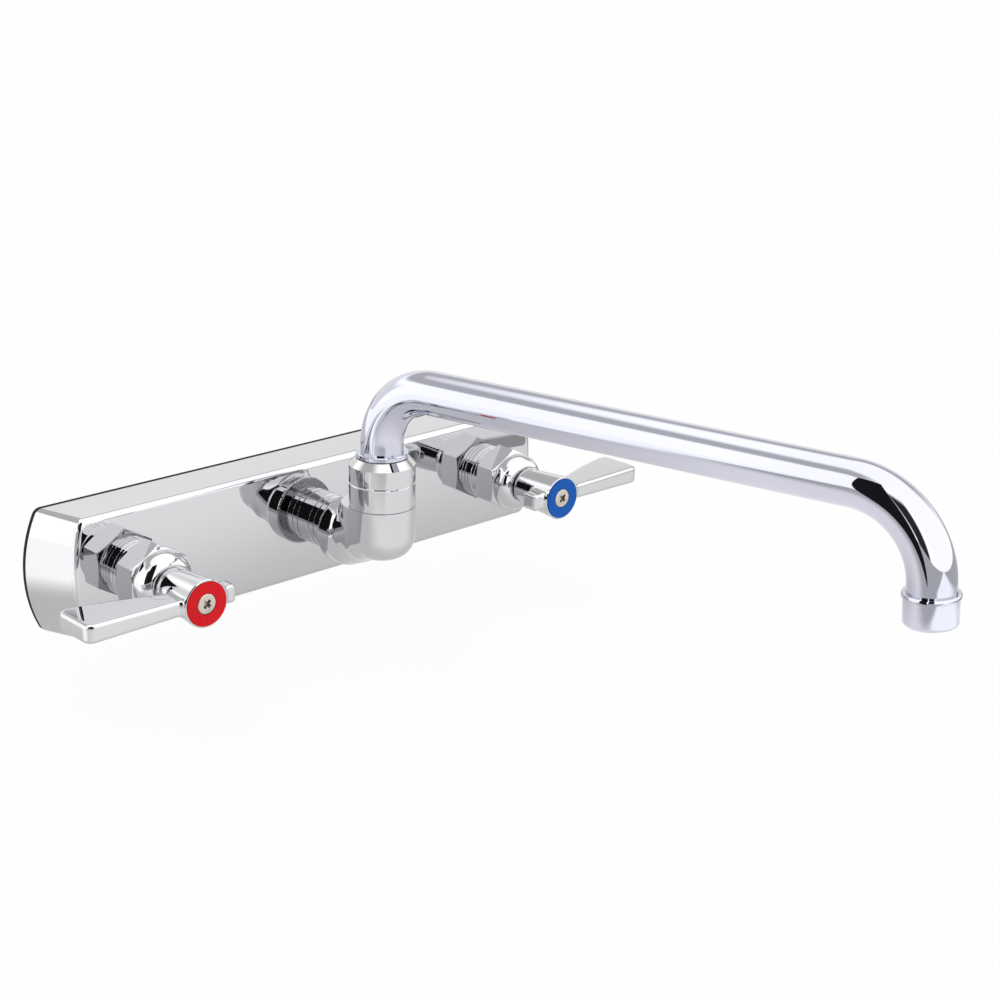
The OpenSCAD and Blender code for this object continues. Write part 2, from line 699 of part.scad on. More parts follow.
// A quarter bend about a line across the spout, from the given angle on
module tube_bend(x, z, r, from) translate([x, 0, z]) rotate([90, 0, 0]) rotate([0, 0, from])
    rotate_extrude(angle = 90) translate([r, 0]) tube_section();

module spout_tube() color(chrome_colour) on_spout() {
    tube_stub(tube_foot, run_z - start_bend);
    tube_bend(start_bend, run_z - start_bend, start_bend, 90);
    translate([start_bend, 0, run_z]) rotate([0, 90, 0]) tube_stub(0, spout_reach - start_bend - end_bend);
    tube_bend(spout_reach - end_bend, run_z - end_bend, end_bend, 0);
    translate([spout_reach, 0, 0]) tube_stub(tube_end_z, run_z - end_bend);
}

// Outlet

module at_outlet() on_spout() translate([spout_reach, 0, 0]) children();

module outlet_collar() color(chrome_colour) at_outlet() turned(concat(
    [[outlet_bore_r, outlet_z]],
    arc(outlet_r - outlet_round, outlet_z + outlet_round, outlet_round, -90, 0, soft_steps),
    [[outlet_r, outlet_z + outlet_h - outlet_rim_h],
     [outlet_r + outlet_rim, outlet_z + outlet_h - outlet_rim_h + outlet_rim],
     [outlet_r + outlet_rim, outlet_z + outlet_h - outlet_rim],
     [outlet_r, outlet_z + outlet_h], [outlet_bore_r, outlet_z + outlet_h]]));

module outlet_washer() color(rubber_colour) at_outlet()
    ring(outlet_bore_r - face_gap, outlet_washer_in_r, tube_end_z - outlet_washer_t, tube_end_z);

// A disc of square mesh holes, kept inside the insert's rim
module outlet_screen() color(steel_colour) at_outlet() difference() {
    rod(insert_r - face_gap, insert_top, insert_top + screen_t);
    for (i = [-mesh_half:mesh_half]) for (j = [-mesh_half:mesh_half])
        if (norm([i, j]) <= mesh_half)
            translate([i * mesh_pitch - mesh_hole / 2, j * mesh_pitch - mesh_hole / 2, insert_top - overrun])
                cube([mesh_hole, mesh_hole, screen_t + 2 * overrun]);
}

module outlet_insert() color(plastic_colour) at_outlet() difference() {
    rod(insert_r, outlet_z + insert_recess, insert_top);
    rod(insert_r - insert_wall, outlet_z + insert_recess + insert_floor_t, insert_top + overrun);
    for (jets = jet_rings) for (i = [0:jets[0] - 1]) rotate([0, 0, 360 * i / jets[0]])
        translate([insert_r * jets[1], 0, 0]) rod(jet_r, outlet_z - overrun, insert_top);
}

body_cover();
wall_gasket();
waterway();
hot_inlet_shank();
cold_inlet_shank();
shank_washers();
shank_lock_nuts();
hot_neck_ring();
cold_neck_ring();
hot_bonnet();
cold_bonnet();
hot_packing_nut();
cold_packing_nut();
hot_seat_seal();
cold_seat_seal();
hot_fixed_disc();
cold_fixed_disc();
hot_turning_disc();
cold_turning_disc();
hot_stem();
cold_stem();
hot_stem_rings();
cold_stem_rings();
hot_thrust_washer();
cold_thrust_washer();
hot_handle();
cold_handle();
hot_handle_screw();
cold_handle_screw();
hot_index_disc();
cold_index_disc();
spout_elbow();
swivel_housing();
spout_nut();
spout_thrust_washers();
spout_end();
spout_o_rings();
tube_collar();
spout_tube();
outlet_collar();
outlet_washer();
outlet_screen();
outlet_insert();
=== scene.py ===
"""Looks of the splash mount faucet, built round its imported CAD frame.

Lengths are in metres in the frame of the CAD model: X runs along the wall, the wall is at
Y = 0 with the faucet in front of it at negative Y, and Z is up. In names and comments "out"
is the distance in front of the wall, so out = -Y.
"""
import json
import math

import bmesh
import bpy
import numpy as np
from bpy.props import FloatProperty, FloatVectorProperty, PointerProperty
from mathutils import Matrix, Vector


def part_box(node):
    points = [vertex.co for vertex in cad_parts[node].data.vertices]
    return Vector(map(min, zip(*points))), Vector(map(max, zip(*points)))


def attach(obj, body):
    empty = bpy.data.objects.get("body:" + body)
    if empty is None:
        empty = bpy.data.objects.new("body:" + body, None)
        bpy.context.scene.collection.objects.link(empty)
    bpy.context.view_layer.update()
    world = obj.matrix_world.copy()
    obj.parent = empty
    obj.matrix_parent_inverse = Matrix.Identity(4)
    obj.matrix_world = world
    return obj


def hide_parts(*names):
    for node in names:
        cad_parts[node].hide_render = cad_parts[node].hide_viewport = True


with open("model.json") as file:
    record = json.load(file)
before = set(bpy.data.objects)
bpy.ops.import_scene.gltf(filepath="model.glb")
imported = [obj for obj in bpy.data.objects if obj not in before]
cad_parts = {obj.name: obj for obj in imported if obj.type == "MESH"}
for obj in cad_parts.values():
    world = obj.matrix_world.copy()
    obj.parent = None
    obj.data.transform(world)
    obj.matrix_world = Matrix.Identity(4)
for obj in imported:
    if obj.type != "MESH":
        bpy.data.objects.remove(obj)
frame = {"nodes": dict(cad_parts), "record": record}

bl_info = {
    "name": "Splash mount faucet",
    "version": (1, 0, 0),
    "blender": (4, 5, 0),
    "location": "3D View > Sidebar > Faucet",
    "description": "Builds the looks of a splash mount kitchen faucet round its CAD frame",
    "category": "Add Mesh",
}

MM = 0.001
TURN = 2 * math.pi
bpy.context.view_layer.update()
COVER_LOW, COVER_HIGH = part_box("body_cover")
LEVER_LOW, LEVER_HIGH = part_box("cold_handle")
SHANK_LOW, SHANK_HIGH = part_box("cold_inlet_shank")
SPOUT_LOW, SPOUT_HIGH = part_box("spout_tube")
SCREW_LOW, SCREW_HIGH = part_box("cold_handle_screw")
VALVE_X = (SHANK_LOW.x + SHANK_HIGH.x) / 2
SIDES = {"hot": -1, "cold": 1}

# Sizes that the pieces made here share with the CAD pieces that stay

PLATE_FACE = 25 * MM          # distance out of the plate's front face
CENTRE_DROP = MM              # how far the centre neck lies below the valve axes
NECK_BORE = 11.75 * MM        # hole of the neck rings, round the waterway's necks
STEM_BORE = 4.3 * MM          # hole for the stem in the bonnets and packing nuts
NUT_THREAD = 8.5 * MM         # radius of the packing nuts' thread
FIT = 0.05 * MM               # clearance round a thread or a tube
ELBOW_TOP = 17 * MM           # height of the elbow's upper face
CAD_REACH = 0.254             # reach of the CAD outlet, which stands upright

# Fineness of the meshes

ROUND_STEPS = 128             # corners round a turned piece
HOLE_STEPS = 96               # corners round a hole
CAST_STEP = 0.6 * MM          # size of the quads on a casting


# Settings that a user would change


def length(name, description, default):
    return FloatProperty(name=name, description=description, default=default, min=0, unit="LENGTH")


def colour(name, description, default):
    return FloatVectorProperty(name=name, description=description, default=default, subtype="COLOR",
                               min=0, max=1)


class PlateSizes(bpy.types.PropertyGroup):
    straight: length("Straight edge", "Length of the plate's straight top edge at the wall", 0.267)
    height: length("Height", "Height of the plate at the wall", COVER_HIGH.z - COVER_LOW.z)
    depth: length("Depth", "How far the front face stands out from the wall", -COVER_LOW.y)
    rake: length("End rake", "How much shorter each end is at the front than at the wall", 0.006)
    draft: length("Draft", "How much lower the top and bottom are at the front", 0.0004)
    rear_bow: length("Rear bow", "How far each end bows outwards at the wall", 0.007)
    front_bow: length("Front bow", "How far each end bows outwards at the front", 0.0036)
    edge: length("Edge rounding", "Radius of the edges round the front face", 0.0026)
    corner: length("Corner rounding", "Radius of the four corners of the outline", 0.004)
    wall: length("Wall", "Thickness of the cover's walls", 0.0022)
    gasket: length("Gasket", "Thickness of the gasket between the cover and the wall", 0.0022)


class ValveSizes(bpy.types.PropertyGroup):
    ring: length("Neck ring radius", "Radius of the round ring on the plate", 0.0132)
    ring_length: length("Neck ring length", "Length of the round ring on the plate", 0.0064)
    flats: length("Bonnet flats", "Width of the bonnet across its flats", 0.0275)
    bonnet_length: length("Bonnet length", "Length of the bonnet's hexagon", 0.0119)
    nut: length("Packing nut radius", "Radius of the packing nut", 0.0134)
    nut_length: length("Packing nut length", "Length of the packing nut", 0.0078)
    nut_round: length("Packing nut rounding", "Rounding of the packing nut's front edge", 0.0054)
    head: length("Screw head radius", "Radius of the handle screw's head", 0.0045)


class LeverSizes(bpy.types.PropertyGroup):
    reach: length("Reach", "Distance from the valve axis to the lever's tip", LEVER_HIGH.x - VALVE_X)
    tip_width: length("Tip width", "Width of the lever at its tip, seen from above", 0.023)
    tip_thickness: length("Tip thickness", "Thickness of the lever at its tip", 0.008)
    root_thickness: length("Root thickness", "Thickness of the lever at the hub", 0.0064)
    tail: length("Tail", "Distance from the valve axis to the end of the short tail",
                 VALVE_X - LEVER_LOW.x)
    tail_width: length("Tail width", "Width of the tail, seen from above", 0.0088)
    tail_thickness: length("Tail thickness", "Thickness of the tail", 0.0078)
    hub: length("Hub radius", "Radius of the hub at its front", LEVER_HIGH.z)
    fillet: length("Fillet", "Radius where the lever runs into the hub", 0.003)


class ElbowSizes(bpy.types.PropertyGroup):
    pivot: length("Pivot distance", "Distance from the wall to the spout's turning axis", 0.0658)
    column: length("Column radius", "Radius of the column under the spout", 0.01465)
    foot: length("Foot rounding", "Rounding between the column's side and its underside", 0.009)
    shoulder: length("Shoulder radius", "Radius of the round shoulder near the plate", 0.0158)
    neck: length("Neck radius", "Radius of the grooved neck at the plate", 0.0125)
    fillet: length("Fillet", "Radius where the arm runs into the column", 0.006)


class SpoutSizes(bpy.types.PropertyGroup):
    reach: length("Reach", "Distance from the turning axis to the outlet", 0.2536)
    radius: length("Tube radius", "Outer radius of the spout tube", 0.009525)
    wall: length("Tube wall", "Wall thickness of the spout tube", 0.0012)
    start_bend: length("First bend", "Bend radius above the swivel", 0.027)
    end_bend: length("Last bend", "Bend radius above the outlet", 0.0345)
    outlet: length("Outlet height", "Height of the tube's end before it leans out", 0.0278)
    collar: length("Collar radius", "Radius of the outlet collar", 0.0107)
    collar_length: length("Collar length", "Length of the outlet collar", 0.0128)
    lean: FloatProperty(
        name="Lean", description="Angle by which the last stretch leans outwards", unit="ROTATION",
        default=math.radians(4))


class Finishes(bpy.types.PropertyGroup):
    chrome: colour("Chrome", "Colour of the chrome plating", (0.565, 0.568, 0.58))
    # The tube's grey is its chrome; its stronger blue-violet cast is a painted reflection of a
    # violet-tinted floor
    tube_chrome_and_painted_tint: colour("Tube chrome", "Colour of the plating on the drawn tube", (0.55, 0.555, 0.63))
    brass: colour("Brass", "Colour of the bare brass", (0.78, 0.6, 0.3))
    hot: colour("Hot index", "Colour of the hot side's index disc", (0.66, 0.008, 0.014))
    cold: colour("Cold index", "Colour of the cold side's index disc", (0.004, 0.1, 0.44))
    polish: FloatProperty(
        name="Polish", description="Roughness of the clean chrome", default=0.014, min=0, max=1,
        subtype="FACTOR")


class StageSettings(bpy.types.PropertyGroup):
    floor_drop: length("Floor", "Distance from the valve axes down to the floor", 0.06)
    key_power: FloatProperty(
        name="Key light", description="Power of the soft light above", default=2.5, min=0, unit="POWER")
    fill_power: FloatProperty(
        name="Fill light", description="Power of the soft light on the right", default=1.0, min=0,
        unit="POWER")
    lens: FloatProperty(
        name="Lens", description="Focal length of the camera on a 36 mm sensor", default=70.21, min=1,
        unit="CAMERA")


# Shader maths


class Signal:
    """A socket of a node tree that Python's arithmetic turns into Math nodes."""

    def __init__(self, recipe, socket):
        self.recipe, self.socket = recipe, socket

    def maths(self, operation, *values):
        return self.recipe.add("ShaderNodeMath", {"operation": operation}, dict(enumerate(values)))

    def __add__(self, other):
        return self.maths("ADD", self, other)

    def __sub__(self, other):
        return self.maths("SUBTRACT", self, other)

    def __rsub__(self, other):
        return self.maths("SUBTRACT", other, self)

    def __mul__(self, other):
        return self.maths("MULTIPLY", self, other)

    def __abs__(self):
        return self.maths("ABSOLUTE", self)

    def at_least(self, other):
        return self.maths("MAXIMUM", self, other)

    __radd__ = __add__


class Recipe:
    """Builds the node tree of one material or of the world."""

    def __init__(self, owner):
        owner.use_nodes = True
        self.tree = owner.node_tree
        self.tree.nodes.clear()

    def add(self, kind, settings=None, inputs=None, output=0):
        """Adds a node, sets its settings first and then its sockets, and returns one output."""
        node = self.tree.nodes.new(kind)
        for name, value in (settings or {}).items():
            if name == "stops":
                ramp = node.color_ramp.elements
                while len(ramp) < len(value):
                    ramp.new(1)
                for stop, (place, colour) in zip(ramp, value):
                    stop.position, stop.color = place, (*colour, 1)
            else:
                setattr(node, name, value)
        for name, value in (inputs or {}).items():
            if isinstance(value, Signal):
                self.tree.links.new(value.socket, node.inputs[name])
            else:
                node.inputs[name].default_value = value
        return Signal(self, node.outputs[output]) if node.outputs else None

    def place(self, output="Object"):
        return self.add("ShaderNodeTexCoord", output=output)

    def noise(self, where, scale, detail=2.0, roughness=0.5, stretch=(1, 1, 1)):
        if stretch != (1, 1, 1):
            where = self.add("ShaderNodeMapping", {}, {"Vector": where, "Scale": stretch})
        return self.add("ShaderNodeTexNoise", {},
                        {"Vector": where, "Scale": scale, "Detail": detail, "Roughness": roughness})

    def spread(self, value, low, high):
        """Rises softly from 0 to 1 as a value goes from low to high, which may lie below low."""
        return self.add("ShaderNodeMapRange", {"interpolation_type": "SMOOTHSTEP"},
                        {"Value": value, "From Min": low, "From Max": high})

    def blend(self, share, first, second):
        """A colour between two, by a share from 0 to 1."""
        first, second = (c if isinstance(c, Signal) else (*c, 1) for c in (first, second))
        return self.add("ShaderNodeMix", {"data_type": "RGBA"}, {0: share, 6: first, 7: second}, 2)

    def bump(self, height, strength, distance):
        return self.add("ShaderNodeBump", {}, {"Height": height, "Strength": strength,
                                               "Distance": distance})

    def surface(self, **sockets):
        """Ends the tree in a Principled shader. Socket names are written with _ for spaces."""
        names = {key.replace("_", " "): value for key, value in sockets.items()}
        shader = self.add("ShaderNodeBsdfPrincipled", {}, names)
        self.add("ShaderNodeOutputMaterial", {}, {"Surface": shader})


def finish(slot):
    """The material that the frame brings for a slot of the record. It comes plain."""
    return bpy.data.materials[slot]


def chrome(name, colour, polish, waviness=0.12):
    """Polished plating: a faint tone drift, dried water marks and the waviness of the metal below."""
    material = finish(name)
    recipe = Recipe(material)
    where = recipe.place()
    drift = recipe.noise(where, scale=9)
    marks = recipe.spread(recipe.noise(where, scale=70, detail=3, roughness=0.6), 0.56, 0.72)
    hairlines = recipe.noise(where, scale=420, roughness=0.6, stretch=(1, 1, 0.08))
    dull = tuple(0.93 * c for c in colour)
    tone = recipe.blend(recipe.spread(drift, 0.3, 0.75), colour, dull)
    height = recipe.noise(where, scale=26, detail=1) * 0.8 + hairlines * 0.02
    recipe.surface(Base_Color=tone, Metallic=1.0, IOR=1.5,
                   Roughness=polish + marks * 0.02 + hairlines * 0.01,
                   Normal=recipe.bump(height, strength=waviness, distance=0.0004))
    return material


def bare_metal(name, colour, roughness, tarnish):
    """Machined metal with tool lines and a little tarnish in patches."""
    material = finish(name)
    recipe = Recipe(material)
    where = recipe.place()
    patches = recipe.spread(recipe.noise(where, scale=60, detail=4, roughness=0.6), 0.42, 0.68)
    tool_lines = recipe.noise(where, scale=900, stretch=(1, 1, 0.1))
    dark = tuple(c * (1 - tarnish) for c in colour)
    recipe.surface(Base_Color=recipe.blend(patches * 0.8 + tool_lines * 0.15, colour, dark),
                   Metallic=1.0, Roughness=roughness + patches * 0.12 + tool_lines * 0.06,
                   Normal=recipe.bump(tool_lines, strength=0.18, distance=0.00015))
    return material


def moulded(name, colour, roughness, fineness, grain, gloss=0.5, mottle=0.95):
    """Moulded rubber, plastic or ceramic: a little mottled, with a fine grain."""
    material = finish(name)
    recipe = Recipe(material)
    where = recipe.place()
    mottling = recipe.spread(recipe.noise(where, scale=110, detail=3, roughness=0.55), 0.35, 0.7)
    fine = recipe.noise(where, scale=fineness, roughness=0.6)
    shade = tuple(c * mottle for c in colour)
    recipe.surface(Base_Color=recipe.blend(mottling, colour, shade),
                   Roughness=roughness + mottling * 0.08 + fine * 0.05, Specular_IOR_Level=gloss,
                   Normal=recipe.bump(fine, strength=grain, distance=0.0001))
    return material


def make_finishes(finishes):
    """One material for each slot of the record."""
    body, tube = tuple(finishes.chrome), tuple(finishes.tube_chrome_and_painted_tint)
    polish = finishes.polish
    steel, black = (0.56, 0.52, 0.46), (0.012, 0.012, 0.013)
    fired, white = (0.9, 0.88, 0.83), (0.84, 0.83, 0.79)
    paint = {"roughness": 0.4, "fineness": 2200, "grain": 0.08, "gloss": 0.12, "mottle": 0.93}
    return {
        "chrome_body": chrome("chrome_body", body, polish),
        "chrome_fittings": chrome("chrome_fittings", body, polish * 0.9, waviness=0.08),
        "chrome_handle": chrome("chrome_handle", body, polish * 1.4, waviness=0.2),
        # the tube's colour carries a painted blue-violet reflection on top of its chrome
        "chrome_spout": chrome("chrome_spout", tube, polish * 1.5, waviness=0.06),
        "brass": bare_metal("brass", tuple(finishes.brass), roughness=0.24, tarnish=0.35),
        "screw_steel": bare_metal("screw_steel", steel, roughness=0.24, tarnish=0.3),
        "rubber": moulded("rubber", black, roughness=0.7, fineness=1500, grain=0.3, gloss=0.15,
                          mottle=1.5),
        "ceramic": moulded("ceramic", fired, roughness=0.16, fineness=2500, grain=0.05, mottle=0.96),
        "white_plastic": moulded("white_plastic", white, roughness=0.42, fineness=1800, grain=0.12),
        "index_red": moulded("index_red", tuple(finishes.hot), **paint),
        "index_blue": moulded("index_blue", tuple(finishes.cold), **paint),
    }


# Mesh building


def new_piece(name, points, faces):
    mesh = bpy.data.meshes.new(name)
    mesh.from_pydata([tuple(p) for p in points], [], [tuple(f) for f in faces])
    mesh.validate()
    mesh.update()
    piece = bpy.data.objects.new(name, mesh)
    bpy.context.scene.collection.objects.link(piece)
    return piece


def closed_piece(name, points, faces):
    """A closed piece with every face turned outwards."""
    piece = new_piece(name, points, faces)
    shape = bmesh.new()
    shape.from_mesh(piece.data)
    bmesh.ops.recalc_face_normals(shape, faces=shape.faces)
    shape.to_mesh(piece.data)
    shape.free()
    return piece


def band(low, high, count):
    """Quads between two rings of points, each given by the number of its first point."""
    return [(low + i, low + (i + 1) % count, high + (i + 1) % count, high + i) for i in range(count)]


def ring_points(radius, count, turned=0.0):
    """Points (x, y) evenly round a circle."""
    angles = [TURN * i / count + turned for i in range(count)]
    return [(radius * math.cos(angle), radius * math.sin(angle)) for angle in angles]


def lathe(name, profile, steps, place):
    """A turned piece. The profile holds (radius, height) points and starts and ends on the axis, or
    is a closed ring of points away from it. place is the matrix that puts the axis, Z, in position."""
    on_axis = profile[0][0] == 0
    points, rings = [], []
    for radius, height in profile:
        if radius == 0:
            rings.append([len(points)] * steps)
            points.append((0, 0, height))
        else:
            rings.append(list(range(len(points), len(points) + steps)))
            points += [(x, y, height) for x, y in ring_points(radius, steps)]
    faces = []
    pairs = list(zip(rings, rings[1:])) if on_axis else list(zip(rings, rings[1:] + rings[:1]))
    for low, high in pairs:
        for i in range(steps):
            j = (i + 1) % steps
            face = list(dict.fromkeys((low[i], low[j], high[j], high[i])))
            if len(face) > 2:
                faces.append(face)
    return closed_piece(name, [place @ Vector(p) for p in points], faces)


def rounded_edge(radius, end, inwards, back, steps):
    """Profile points of an edge rounded by an ellipse, from the side to the end face."""
    angles = [math.pi / 2 * i / steps for i in range(steps + 1)]
    return [(radius - inwards * (1 - math.cos(angle)), end - back * (1 - math.sin(angle)))
            for angle in angles]


def plug(name, radius, low, high, steps, place):
    """A plain round plug between two heights on the axis of place, for cutting and joining."""
    return lathe(name, [(0, low), (radius, low), (radius, high), (0, high)], steps, place)


def hexagon(name, low, high, radius, place):
    """A hexagonal bar between two heights on the axis of place. radius reaches its corners."""
    corners, sides = ring_points(radius, 6, math.pi / 6), 6
    faces = band(0, sides, sides) + [tuple(range(sides)), tuple(range(sides, 2 * sides))]
    return closed_piece(name, [place @ Vector((x, y, z)) for z in (low, high) for x, y in corners],
                        faces)


def copy_of(name, node, move):
    """A CAD piece's shape as a piece of its own, moved by a matrix."""
    source = frame["nodes"][node]
    shape = bmesh.new()
    shape.from_mesh(source.data)
    bmesh.ops.remove_doubles(shape, verts=shape.verts, dist=1e-6)
    bmesh.ops.transform(shape, matrix=move @ source.matrix_world, verts=shape.verts)
    piece = new_piece(name, [], [])
    shape.to_mesh(piece.data)
    shape.free()
    return piece


def skin(form, low, high, step):
    """Points and quads of a closed mesh over the surface where form is zero. form takes an array of
    points and gives their distances, negative inside. Every point is set exactly on the surface."""
    axes = [np.arange(a - 2 * step, b + 3 * step, step) for a, b in zip(low, high)]
    grid = np.stack(np.meshgrid(*axes, indexing="ij"), -1)
    shape = grid.shape[:3]
    coarse = form(grid[::4, ::4, ::4].reshape(-1, 3)).reshape([(n + 3) // 4 for n in shape])
    distance = coarse.repeat(4, 0).repeat(4, 1).repeat(4, 2)[:shape[0], :shape[1], :shape[2]].copy()
    close = np.abs(distance) < 6.5 * step
    distance[close] = form(grid[close])
    inside = distance < 0
    corners = sum(inside[i:shape[0] - 1 + i, j:shape[1] - 1 + j, k:shape[2] - 1 + k].astype(int)
                  for i in (0, 1) for j in (0, 1) for k in (0, 1))
    crossed = (corners > 0) & (corners < 8)
    number = np.full(crossed.shape, -1)
    number[crossed] = np.arange(crossed.sum())
    points = grid[:-1, :-1, :-1][crossed] + step / 2
    for _ in range(5):
        slope = gradient(form, points, step * 0.02)
        shift = slope * (form(points) / np.maximum((slope ** 2).sum(1), 1e-9))[:, None]
        points = points - np.clip(shift, -step, step)
    faces = []
    for axis in range(3):
        ahead = np.take(inside, range(1, shape[axis]), axis)
        behind = np.take(inside, range(shape[axis] - 1), axis)
        edges = np.argwhere(ahead != behind)
        side_b, side_c = np.eye(3, dtype=int)[(axis + 1) % 3], np.eye(3, dtype=int)[(axis + 2) % 3]
        ring = (edges - side_b - side_c, edges - side_c, edges, edges - side_b)
        faces.append(np.stack([number[tuple(r.T)] for r in ring], 1))
    return points, np.concatenate(faces).tolist()


def gradient(form, points, reach, middle=None):
    """Slopes of a form at some points. Its values there, if known, spare half of the work."""
    steps = np.eye(3) * reach
    if middle is None:
        return np.stack([(form(points + s) - form(points - s)) / (2 * reach) for s in steps], 1)
    return np.stack([(form(points + s) - middle) / reach for s in steps], 1)


def both(a, b, radius):
    """Where both forms are solid, with the edge between them rounded."""
    rounded = np.hypot(np.maximum(a + radius, 0), np.maximum(b + radius, 0))
    return np.minimum(np.maximum(a, b), -radius) + rounded


def joined(first, second, radius):
    """Two forms made into one, with a fillet where their surfaces cross and none where they run
    side by side."""
    def form(points):
        a, b = first(points), second(points)
        difference = gradient(first, points, 5e-5, a) - gradient(second, points, 5e-5, b)
        fillet = radius * np.clip((difference ** 2).sum(1) * 0.6, 0.001, 1)
        hollow = np.hypot(np.maximum(fillet - a, 0), np.maximum(fillet - b, 0))
        return np.maximum(np.minimum(a, b), fillet) - hollow

    return form


def combine(piece, other, operation):
    """Cuts another piece away from piece, or joins it on, and removes the other."""
    change = piece.modifiers.new("combine", "BOOLEAN")
    change.operation, change.object, change.solver = operation, other, "EXACT"
    apply_modifiers(piece)
    bpy.data.objects.remove(other)


def apply_modifiers(piece):
    bpy.context.view_layer.update()
    shown = piece.evaluated_get(bpy.context.evaluated_depsgraph_get())
    mesh = bpy.data.meshes.new_from_object(shown)
    old, piece.data = piece.data, mesh
    piece.modifiers.clear()
    mesh.name = piece.name
    bpy.data.meshes.remove(old)


def dress(piece, body, slot, replaced=(), sharp=32):
    """Gives a finished mesh its shading, finish and body, and hides the CAD nodes that it stands for.
    """
    piece.data.polygons.foreach_set("use_smooth", [True] * len(piece.data.polygons))
    piece.data.set_sharp_from_angle(angle=math.radians(sharp))
    piece.data.materials.clear()
    piece.data.materials.append(finish(slot))
    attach(piece, body)
    if replaced:
        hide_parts(*replaced)
    return piece


def out_frame(x=0.0, z=0.0):
    """Puts a turned piece's axis so that it points out from the wall: local Z is the distance out."""
    return Matrix.Translation((x, 0, z)) @ Matrix.Rotation(math.radians(90), 4, "X")


# Operators


class FAUCET_OT_plate(bpy.types.Operator):
    """Builds the chromed plate cover with its bowed ends and rounded front edges"""
    bl_idname = "faucet.plate"
    bl_label = "Plate cover"

    def outline(self, half_length, half_height, bow, inset, corner):
        """Points round the plate: straight top and bottom, and ends that bow outwards."""
        radius = (half_height ** 2 + bow ** 2) / (2 * bow)
        centre = half_length + bow - radius
        radius, half_height = radius - inset, half_height - inset
        corner_z = half_height - corner
        corner_x = centre + math.sqrt((radius - corner) ** 2 - corner_z ** 2)
        lean = math.atan2(corner_z, corner_x - centre)
        bow_steps, corner_steps, top_steps = 12, 10, 16
        angles = [lean * i / bow_steps for i in range(bow_steps)]
        quarter = [(centre + radius * math.cos(angle), radius * math.sin(angle)) for angle in angles]
        for i in range(corner_steps + 1):
            angle = lean + (math.pi / 2 - lean) * i / corner_steps
            quarter.append((corner_x + corner * math.cos(angle), corner_z + corner * math.sin(angle)))
        quarter += [(corner_x * (1 - i / top_steps), half_height) for i in range(1, top_steps)]
        left = [(-x, z) for x, z in reversed(quarter[1:])]
        top = quarter + [(0, half_height)] + left + [(-quarter[0][0], 0)]
        return top + [(x, -z) for x, z in reversed(top[1:-1])]

    def execute(self, context):
        sizes = context.scene.faucet_plate
        back = sizes.gasket
        shoulder = (sizes.straight / 2 - sizes.rake, sizes.height / 2 - sizes.draft, sizes.front_bow)
        rings = [(back, self.outline(sizes.straight / 2, sizes.height / 2, sizes.rear_bow, 0,
                                     sizes.corner))]
        rings += [(out, self.outline(*shoulder, -inset, sizes.corner))
                  for inset, out in rounded_edge(0, sizes.depth, sizes.edge, sizes.edge, 8)]
        count = len(rings[0][1])
        points = [(x, -out, z) for out, ring in rings for x, z in ring]
        last = (len(rings) - 1) * count
        faces = [quad for low in range(0, last, count) for quad in band(low, low + count, count)]
        faces.append(tuple(range(last, last + count)))
        cover = closed_piece("plate_cover", points, faces)
        shell = cover.modifiers.new("shell", "SOLIDIFY")
        shell.thickness, shell.offset, shell.use_even_offset = sizes.wall, -1, True
        apply_modifiers(cover)
        valve_hole, centre_hole, shank_hole = 10.7 * MM, 8.95 * MM, 11 * MM
        for x, z, radius in ((-VALVE_X, 0, valve_hole), (VALVE_X, 0, valve_hole),
                             (0, -CENTRE_DROP, centre_hole)):
            drill = plug("drill", radius, sizes.depth / 2, sizes.depth * 2, HOLE_STEPS, out_frame(x, z))
            combine(cover, drill, "DIFFERENCE")
        dress(cover, "faucet_body", "chrome_body", ["body_cover"])
        even = cover.modifiers.new("even_shading", "WEIGHTED_NORMAL")
        even.keep_sharp, even.weight = True, 90
        sheet = [(x, -out, z) for out in (0, back) for x, z in rings[0][1]]
        faces = band(0, count, count) + [tuple(range(count)), tuple(range(count, 2 * count))]
        gasket = closed_piece("rear_gasket", sheet, faces)
        for sense in SIDES.values():
            place = out_frame(sense * VALVE_X)
            drill = plug("drill", shank_hole, -MM, back + MM, HOLE_STEPS, place)
            combine(gasket, drill, "DIFFERENCE")
        dress(gasket, "faucet_body", "rubber", ["wall_gasket"])
        return {"FINISHED"}


